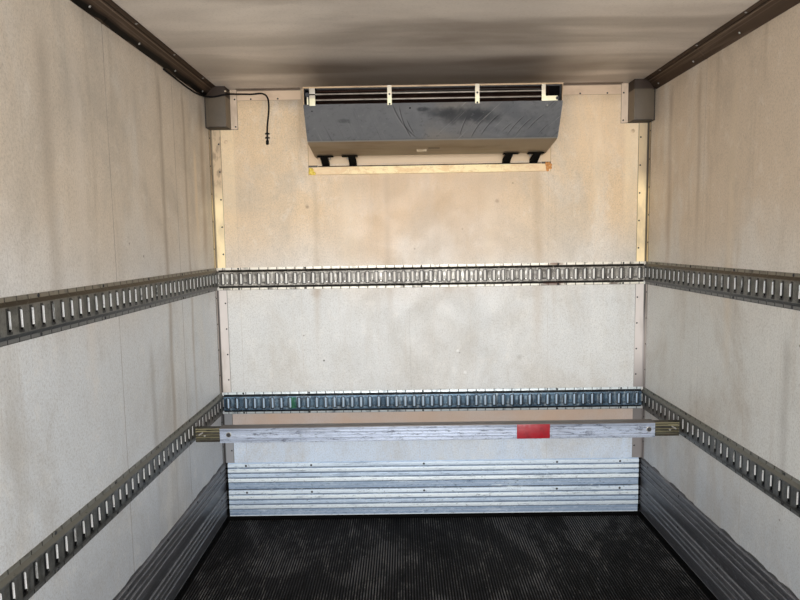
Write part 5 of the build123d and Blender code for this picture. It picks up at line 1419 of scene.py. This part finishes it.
def makeBrackets():
    form = Form()
    wall, under = room["front"] - 0.0005, evap["back"][1] - 0.0005
    for place, lean in ((-0.56, -1), (-0.43, 1), (0.43, -1), (0.56, 1)):
        leg = place + lean * 0.01
        form.block((place - 0.042, 2.036, under - 0.004), (place + 0.042, 2.08, under), 0.001)
        outline = [(2.052, under - 0.003), (2.084, under - 0.003), (wall, 2.352), (wall, 2.3345), (2.15, 2.3345)]
        form.prism("x", outline, leg - 0.015, leg + 0.015, 0.001)
        for edge in (-1, 1):
            outline = [(2.04, under - 0.003), (2.084, under - 0.003), (wall, 2.356), (wall, 2.3345), (2.138, 2.3345)]
            form.prism("x", outline, leg + edge * 0.015, leg + edge * 0.0185, 0.0006)
        form.blocks(0.0008, ((leg - 0.021, 2.14, 2.3345), (leg + 0.021, wall, 2.3375)),
                    ((leg - 0.019, wall - 0.003, 2.3345), (leg + 0.019, wall, 2.35)))
    form.piece("evap_bracket_set", "hollow", "black_steel", "evap_brackets")
    spots = [((leg, 2.12, under - 0.004), (0, 0, -1)) for leg in (-0.545, -0.445, 0.445, 0.545)]
    heads("bracket_bolts", "bolt", spots, "stud", 0.006, 0.004)
    plate = Form()
    slope = (evap["back"][1] - evap["knee"][1]) / (evap["back"][0] - evap["knee"][0])
    y0, y1 = 1.972, 2.004
    z0, z1 = (evap["knee"][1] + slope * (y - evap["knee"][0]) - 0.0006 for y in (y0, y1))
    plate.prism("x", [(y0, z0), (y1, z1), (y1, z1 - 0.0012), (y0, z0 - 0.0012)], -0.074, -0.021, 0.0003)
    plate.piece("blank_plate", "pale", "bare_aluminium")
    source = random.Random(7)
    for side, x, tone in (("left", -0.6505, "yellowFoam"), ("right", 0.657, "orangeFoam")):
        foam = Form()
        for _ in range(12):
            spot = (x + source.uniform(-0.013, 0.013), 2.1685, 2.314 + source.uniform(-0.02, 0.02))
            size = source.uniform(0.006, 0.01)
            lump = [(0, -size * 0.3), (size, 0), (size * 0.8, size * 0.35), (size * 0.4, size * 0.55), (0, size * 0.6)]
            foam.turned(lump, spot, (source.uniform(-0.3, 0.3), -1, source.uniform(-0.3, 0.3)), 9)
        foam.piece("foam_" + side, tone, "trim", crease=60)


makeEvaporator()
makeOutlet()
makeCoil()
makeBrackets()
print("evaporator made")


# Load beam, its bolts and red plate, and its two sliding ends

beam = {
    "y": 1.6985, "z": 0.976, "half": 1.07, "face": 1.6715, "inner": 0.91, "shoulder": 1.1918, "tip": 1.2028,
    "front": 1.6782, "back": 1.7188, "up": 0.0343, "lip": 0.0045, "recess": 0.0065, "soft": 0.0011,
    "plate": (0.393, 0.555), "plateTall": 0.0715, "bolts": ((-1.026, 0.979), (1.04, 0.979)),
    "strip": (1.138, 0.0075), "ribs": (0.001, -0.0115), "tongue": (0.005, 0.9758, 1.0155),
}


def makeBeam():
    softenedNode("load_beam", "beamSheet", "bare_aluminium", beam["soft"])
    bolts = [((x, beam["face"] - 0.0006, z), (0, -1, 0)) for x, z in beam["bolts"]]
    heads("beam_bolts", "bolt", bolts, "darkStud", 0.0075, 0.005)
    rims = Form()
    for x, z in beam["bolts"]:
        rims.turned([(0, 0), (0.0135, 0), (0.0135, 0.0008), (0.012, 0.0014), (0, 0.0014)],
                    (x, beam["face"] + 0.0003, z), (0, -1, 0), 20)
    rims.piece("beam_washers", "stud", "stainless")
    label = Form()
    low, high = beam["z"] - beam["plateTall"] / 2, beam["z"] + beam["plateTall"] / 2
    label.block((beam["plate"][0], beam["face"] - 0.0008, low), (beam["plate"][1], beam["face"] + 0.0004, high), 0.0003)
    label.piece("beam_plate", "redPlate", "red_lens")


def makeBeamEnd(side, hand):
    body = "beam_end_" + side
    form = Form()
    y, z, up, lip = beam["front"], beam["z"], beam["up"], beam["lip"]
    web, low, high = y + beam["recess"], z - up, z + up
    outline = [(y, low), (y, low + lip), (web, low + lip + 0.002)]
    for mid in (z + rib for rib in beam["ribs"][::-1]):
        outline += [(web, mid - 0.0032), (y + 0.0035, mid - 0.001), (y + 0.0035, mid + 0.001), (web, mid + 0.0032)]
    outline += [(web, high - lip - 0.002), (y, high - lip), (y, high), (beam["back"], high), (beam["back"], low)]
    start, end = hand * beam["inner"], hand * (beam["shoulder"] - 0.0055)
    form.prism("x", rounded(outline, 0.0012, 2), start, end, 0.0005)
    form.block((end, y, z - 0.0345), (hand * beam["shoulder"], beam["back"], z + 0.0345), 0.0012)
    out, wide = beam["strip"]
    low, high = high - lip - 0.0085 - wide / 2, high - lip - 0.0085 + wide / 2
    form.block((hand * out, y + 0.0012, low), (hand * beam["half"] * 0.96, y + 0.0085, high), 0.0032, 3)
    thick, low, high = beam["tongue"]
    middle = beam["y"]
    shoulder, tip = hand * beam["shoulder"], hand * beam["tip"]
    form.block((hand * (beam["shoulder"] - 0.006), middle - 0.0098, low), (shoulder, middle + 0.0098, high), 0.001)
    held = [(shoulder - hand * 0.002, low), (tip, low + 0.008), (tip, high - 0.003), (shoulder - hand * 0.002, high)]
    form.prism("y", rounded(held, {1: 0.004, 2: 0.002}), middle - thick + 0.0002, middle + thick - 0.0002, 0.0006)
    form.finish = 1  # the bright latch and the pin in the web
    latch = [(hand * 1.156, z + 0.0165), (hand * 1.177, z + 0.004), (hand * 1.177, z - 0.001),
             (hand * 1.172, z - 0.001), (hand * 1.156, z + 0.0095)]
    form.prism("y", latch, y + 0.0004, y + 0.008, 0.0006)
    form.turned([(0, 0), (0.0052, 0), (0.0052, 0.003), (0.0036, 0.0046), (0, 0.0046)],
                (hand * 1.148, web + 0.0005, z - 0.004), (0, -1, 0), 14)
    form.piece(body + "_channel", "zinc stud", "galvanised", body, body=body)


makeBeam()
makeBeamEnd("left", -1)
makeBeamEnd("right", 1)
print("load beam made")


# Sensor lead with its clips and probe

lead = {
    "diameter": 0.009,
    "route": (
        (-1.201, 1.5315, 2.691), (-1.201, 1.6865, 2.687), (-1.201, 1.8425, 2.684), (-1.199, 1.9785, 2.686),
        (-1.171, 2.077, 2.694), (-1.125, 2.074, 2.699), (-1.084, 2.069, 2.707), (-1.058, 2.1025, 2.716),
        (-1.044, 2.1395, 2.723), (-1.008, 2.1655, 2.729), (-0.96, 2.1655, 2.727), (-0.912, 2.1655, 2.734),
        (-0.88, 2.1655, 2.716), (-0.874, 2.1655, 2.668), (-0.88, 2.1655, 2.608), (-0.89, 2.1655, 2.548),
        (-0.89, 2.1655, 2.482),
    ),
}


def makeLead():
    curve = bpy.data.curves.new("sensor_lead_cable", "CURVE")
    curve.dimensions = "3D"
    spline = curve.splines.new("NURBS")
    spline.points.add(len(lead["route"]) - 1)
    for point, spot in zip(spline.points, lead["route"]):
        point.co = (*spot, 1)
    spline.order_u = 3
    spline.use_endpoint_u = True
    spline.resolution_u = 8
    curve.bevel_depth = lead["diameter"] / 2
    curve.bevel_resolution = 3
    curve.use_fill_caps = True
    curve.materials.append(finishes["leadSheath"].material)
    cable = bpy.data.objects.new("sensor_lead_cable", curve)
    bpy.context.scene.collection.objects.link(cable)
    riding(cable, "sensor_lead")
    run = sum((Vector(b) - Vector(a)).length for a, b in zip(lead["route"], lead["route"][1:]))
    print("sensor lead: its runs add up to", round(run, 3), "m")
    clips = Form()
    x, y, wall = -0.89, 2.1655, room["front"]
    half = [(0.013, wall), (0.013, wall - 0.0022), (0.0072, wall - 0.0022), (0.0068, y - 0.004), (0.0038, y - 0.0066)]
    for z in (2.494, 2.516):
        clips.prism("z", rounded(mirrored(x, half), 0.0008, 2), z - 0.004, z + 0.004, 0.0004)
    clips.piece("lead_clips", "leadSheath", "black_plastic", "sensor_clips")
    probe = Form()
    profile = [(0, -0.026), (0.0055, -0.0258), (0.0076, -0.023), (0.0079, -0.006), (0.006, -0.001), (0.005, 0), (0, 0)]
    probe.turned(profile, (x, wall - 0.008, 2.482), (0, 0, 1), 16)
    end = probe.piece("lead_probe", "leadSheath", "black_plastic")
    pale = Form()
    for across in (-1.09, -1.062):
        pale.block((across, 2.072, 2.7215), (across + 0.009, 2.0815, 2.7275), 0.0018)
    pale.piece("lead_saddles", "pale", "trim")


makeLead()
print("sensor lead made")


# Outside: rails, rear frame, doors with their hinges and lock rods, underframe

outside = {
    "skin": 1.295, "frontSkin": 2.261, "rivetPitch": 0.1016, "rivetRadius": 0.0045, "rivetHigh": 0.0022,
    "pin": (1.295, -2.675), "hinges": (0.568, 1.228, 1.888, 2.548), "strapBolts": (0.15, 0.215, 0.29),
    "guides": (0.728, 1.388, 2.048, 2.513), "rodAlong": 1.095, "rodOut": 0.033,
}

for node, finish, slot, radius in (
    ("roof_rail", "mill", "bare_aluminium", 0.0012), ("bottom_rail", "mill", "bare_aluminium", 0.0012),
    ("rear_frame", "stainless", "stainless", 0.004), ("hinge_brackets", "stainless", "stainless", 0.0015),
    ("keepers", "stainless", "stainless", 0.0018), ("dock_bumpers", "rubber", "rubber", 0.006),
    ("sills", "steel", "sill_steel", 0.0016), ("crossmembers", "mill", "bare_aluminium", 0.0008),
    ("lamps_amber", "amber", "amber_lens", 0.0045), ("lamps_red", "red", "red_lens", 0.0045),
):
    softenedNode(node, finish, slot, radius)


def railFixings():
    spots, pitch = [], outside["rivetPitch"]
    for up in (2.752, 2.83, 0.172, 0.288):
        for hand in (-1, 1):
            spots += [((hand * outside["skin"], -2.47 + n * pitch, up), (hand, 0, 0)) for n in range(46)]
        if up in (2.83, 0.172):
            spots += [(((n - 11.5) * pitch, outside["frontSkin"], up), (0, 1, 0)) for n in range(24)]
    heads("rail_rivets", "rivet", spots, "stud", outside["rivetRadius"], outside["rivetHigh"])
    spots = [((across, -2.68, up), (0, -1, 0)) for across in (-1.185, -0.985, 0.985, 1.185) for up in (0.145, 0.195)]
    heads("bumper_bolts", "bolt", spots, "darkStud", 0.01, 0.004)


def makeDoor(side, hand):
    body = "door_" + side
    px, py = outside["pin"]

    def at(along, out, up):
        return (hand * (px + out), py + along, up)

    softenedNode(body, "white", "white_skin", 0.002, body)
    softenedNode("hinge_straps_" + side, "stainless", "stainless", 0.0012, body)
    softenedNode("lock_rod_" + side, "stainless", "stainless", 0.0012, body)
    softenedNode("door_seal_" + side, "rubber", "rubber", 0.002, body)
    plates = Form()
    plates.block(at(0.15, 0.1345, 0.33), at(1.24, 0.1362, 0.73), 0.0008)
    plates.finish = 1  # an edge frame on the outer face, round the skin
    for near, far, low, high in ((0.106, 0.146, 0.279, 2.697), (1.242, 1.282, 0.279, 2.697),
                                 (0.146, 1.242, 0.279, 0.319), (0.146, 1.242, 2.657, 2.697)):
        plates.block(at(near, 0.0541, low), at(far, 0.0552, high), 0.0005)
    plates.piece("door_plates_" + side, "mill stainless", "bare_aluminium", body=body)
    for inset in (0.009, 0.019):  # a lip standing on the seal
        near, far, low, high = 0.103 + inset, 1.285 - inset, 0.276 + inset, 2.7 - inset
        ring = [at(along, 0.1402, up) for along, up in ((near, low), (far, low), (far, high), (near, high))]
        wires("seal_lip_%s_%d" % (side, inset * 1000), [ring], True, "rubber", 0.0018, body=body)
    gasket = Form()  # rubber strips on the free edges close the gap between the two doors
    for out in (0.056, 0.08):
        gasket.block(at(1.2835, out, 0.279), at(1.2945, out + 0.014, 2.697), 0.002)
    gasket.piece("door_gasket_" + side, "rubber", "rubber", body=body)
    bolts = [at(along, 0.047, level + lift) for level in outside["hinges"] for along in outside["strapBolts"]
             for lift in (-0.012, 0.012)]
    bolts += [at(outside["rodAlong"] + end * 0.027, 0.049, level + lift) for level in outside["guides"]
              for end in (-1, 1) for lift in (-0.022, 0.022)]
    bolts = [(spot, (-hand, 0, 0)) for spot in bolts]
    heads("door_bolts_" + side, "bolt", bolts, "stud", 0.0065, 0.0042, body=body)
    rivets = [(at(along, 0.0542, 0.32 + 0.0965 * n), (-hand, 0, 0)) for along in (0.126, 1.262) for n in range(25)]
    rivets += [(at(0.22 + 0.0948 * n, 0.0542, up), (-hand, 0, 0)) for up in (0.299, 2.677) for n in range(11)]
    rivets += [(at(0.17 + 0.15 * n, 0.1362, up), (hand, 0, 0)) for up in (0.35, 0.71) for n in range(8)]
    heads("door_rivets_" + side, "rivet", rivets, "stud", 0.004, 0.0016, body=body)
    cams = Form()  # cams at the rods' ends, and collars at their guides
    rod, out = outside["rodAlong"], outside["rodOut"]
    for up in (0.256, 2.72):
        cams.turned([(0, -0.012), (0.0165, -0.012), (0.018, -0.009), (0.018, 0.009), (0.0165, 0.012), (0, 0.012)],
                    at(rod, out, up), (0, 0, 1), 20)
        for end in (-1, 1):
            low, high = at(rod + end * 0.008, out - 0.006, up - 0.007), at(rod + end * 0.0165, out + 0.019, up + 0.007)
            cams.block(low, high, 0.002)
    for up in (level + lift for level in outside["guides"] for lift in (-0.037, 0.037)):
        cams.turned([(0, -0.004), (0.0155, -0.004), (0.0168, -0.002), (0.0168, 0.002), (0.0155, 0.004), (0, 0.004)],
                    at(rod, out, up), (0, 0, 1), 20)
    cams.piece("lock_cams_" + side, "stainless", "stainless", body=body)


railFixings()
makeDoor("left", -1)
makeDoor("right", 1)
print("outside made")


# Nose unit: housing, fan and its guard, coil and louvres

unit = {
    "low": 2.168, "front": 2.687, "port": 2.473, "fan": (0.56, 2.473),
    "coil": (-0.83, 0.07), "coilTall": 0.42, "rings": 11, "ringStep": 0.017, "ringFirst": 0.062, "wire": 0.0018,
}


def makeUnit():
    softenedNode("unit_housing", "white", "white_skin", 0.005)
    softenedNode("unit_fan", "dark", "black_steel", 0.0008, body="unit_fan")
    softenedNode("unit_louvres", "dark", "black_plastic", 0.0008)
    x0, z0 = unit["fan"]
    lines = []
    for number in range(unit["rings"]):
        radius = min(unit["ringFirst"] + number * unit["ringStep"], 0.228)
        angles = [2 * math.pi * n / 40 for n in range(40)]
        lines.append([(x0 + radius * math.cos(a), 2.6735, z0 + radius * math.sin(a)) for a in angles])
    wires("guard_rings", lines, True, "dark", unit["wire"], "unit_guard")
    bars = []
    for number in range(6):
        angle = math.pi * number / 6
        across, up = math.cos(angle) * 0.229, math.sin(angle) * 0.229
        bars.append([(x0 - across, 2.6715, z0 - up), (x0 + across, 2.6715, z0 + up)])
    wires("guard_bars", bars, False, "dark", 0.0026)
    form = Form()
    profile = [(0, 0), (0.05, 0), (0.05, 0.002), (0.046, 0.005), (0, 0.006)]
    form.turned(profile, (x0, 2.67, z0), (0, 1, 0), 28)
    form.piece("guard_boss", "dark", "black_steel")
    panel = Form()
    y = unit["front"]
    low, high = unit["coil"]
    half = unit["coilTall"] / 2
    for a, b, c, d in ((low - 0.02, low, -half - 0.02, half + 0.02), (high, high + 0.02, -half - 0.02, half + 0.02),
                       (low, high, half, half + 0.02), (low, high, -half - 0.02, -half)):
        panel.block((a, y - 0.002, unit["port"] + c), (b, y + 0.0035, unit["port"] + d), 0.001)
    panel.finish = 1
    for a, b in ((-0.9405, -0.93), (0.93, 0.9405)):
        panel.block((a, 2.3, unit["low"] + 0.05), (b, 2.61, unit["low"] + 0.054), 0.0006)
    panel.block((0.199, y - 0.001, 2.23), (0.201, y + 0.0008, 2.73), 0.0004)
    panel.piece("unit_frames", "white dark", "white_skin")
    tube = Form()
    tube.prism("x", [(2.628, 2.264), (2.633, 2.264), (2.633, 2.682), (2.628, 2.682)], low + 0.002, low + 0.0032)
    mesh = repeated(tube, 150, (0.0059, 0, 0), "coilFins")
    dressed("unit_coil_fins", mesh, "coilFins")
    spots = [((x, y, z), (0, 1, 0)) for x in (-0.89, -0.38, 0.135, 0.265, 0.89) for z in (2.238, 2.718)]
    heads("unit_screws", "bolt", spots, "stud", 0.007, 0.004)
    latches = Form()
    for x in (-0.6, -0.16, 0.56):
        latches.blocks(0.002, ((x - 0.02, y - 0.001, 2.724), (x + 0.02, y + 0.006, 2.74)),
                       ((x - 0.008, y + 0.004, 2.716), (x + 0.008, y + 0.01, 2.736)))
    latches.piece("unit_latches", "dark", "black_plastic")


makeUnit()
print("nose unit made")


# Light, floor and camera

lighting = {
    "roomPower": 88.0,  # through the rear opening, as daylight came in
    "roomSize": 2.2,
    "roomPlace": (0, -2.46, 1.52),
    "roomSpread": 130.0,  # degrees
    "sidePower": 170.0,
    "sky": 0.75,
}


def areaLight(name, place, target, size, power, spread=180):
    data = bpy.data.lights.new(name, "AREA")
    data.shape = "SQUARE"
    data.size = size
    data.energy = power
    data.spread = math.radians(spread)
    lamp = bpy.data.objects.new(name, data)
    lamp.location = place
    lamp.rotation_euler = (Vector(target) - Vector(place)).to_track_quat("-Z", "Y").to_euler()
    lamp.visible_camera = False
    bpy.context.scene.collection.objects.link(lamp)


areaLight("roomLight", lighting["roomPlace"], (0, 2, 1.5), lighting["roomSize"], lighting["roomPower"],
          lighting["roomSpread"])
areaLight("leftLight", (-7, -3, 5), (0, 0, 1.2), 4, lighting["sidePower"])
areaLight("rightLight", (7, 3, 5), (0, 0, 1.2), 4, lighting["sidePower"])

world = bpy.data.worlds.new("paleRoom")
bpy.context.scene.world = world
world.use_nodes = True
world.node_tree.nodes["Background"].inputs["Color"].default_value = tint(240, 240, 240)
world.node_tree.nodes["Background"].inputs["Strength"].default_value = lighting["sky"]

floorMesh = bpy.data.meshes.new("studioFloor")
floorMesh.from_pydata([(-40, -40, 0), (40, -40, 0), (40, 40, 0), (-40, 40, 0)], [], [(0, 1, 2, 3)])
studioFloor = bpy.data.objects.new("studioFloor", floorMesh)
bpy.context.scene.collection.objects.link(studioFloor)
studioFloor.data.materials.append(Finish("paleFloor", (226, 226, 226), 0.8).material)

view = {
    "focal": 27.352,       # mm on a 36 mm sensor
    "place": (-0.1508, -1.2419, 1.9122),
    "yaw": 0.39722,        # degrees, to the left
    "pitch": -5.45508,
    "roll": 0.90622,
}
cameraData = bpy.data.cameras.new("camera")
cameraData.sensor_width = 36
cameraData.lens = view["focal"]
cameraData.clip_start = 0.02
cameraData.clip_end = 200
camera = bpy.data.objects.new("camera", cameraData)
bpy.context.scene.collection.objects.link(camera)
turn = Matrix.Rotation(math.radians(view["yaw"]), 4, "Z") @ Matrix.Rotation(math.radians(view["pitch"]), 4, "X")
turn = turn @ Matrix.Rotation(math.radians(view["roll"]), 4, "Y") @ Matrix.Rotation(math.pi / 2, 4, "X")
camera.matrix_world = Matrix.Translation(view["place"]) @ turn
bpy.context.scene.camera = camera
bpy.context.scene.view_settings.view_transform = "Standard"
print("light and camera ready")
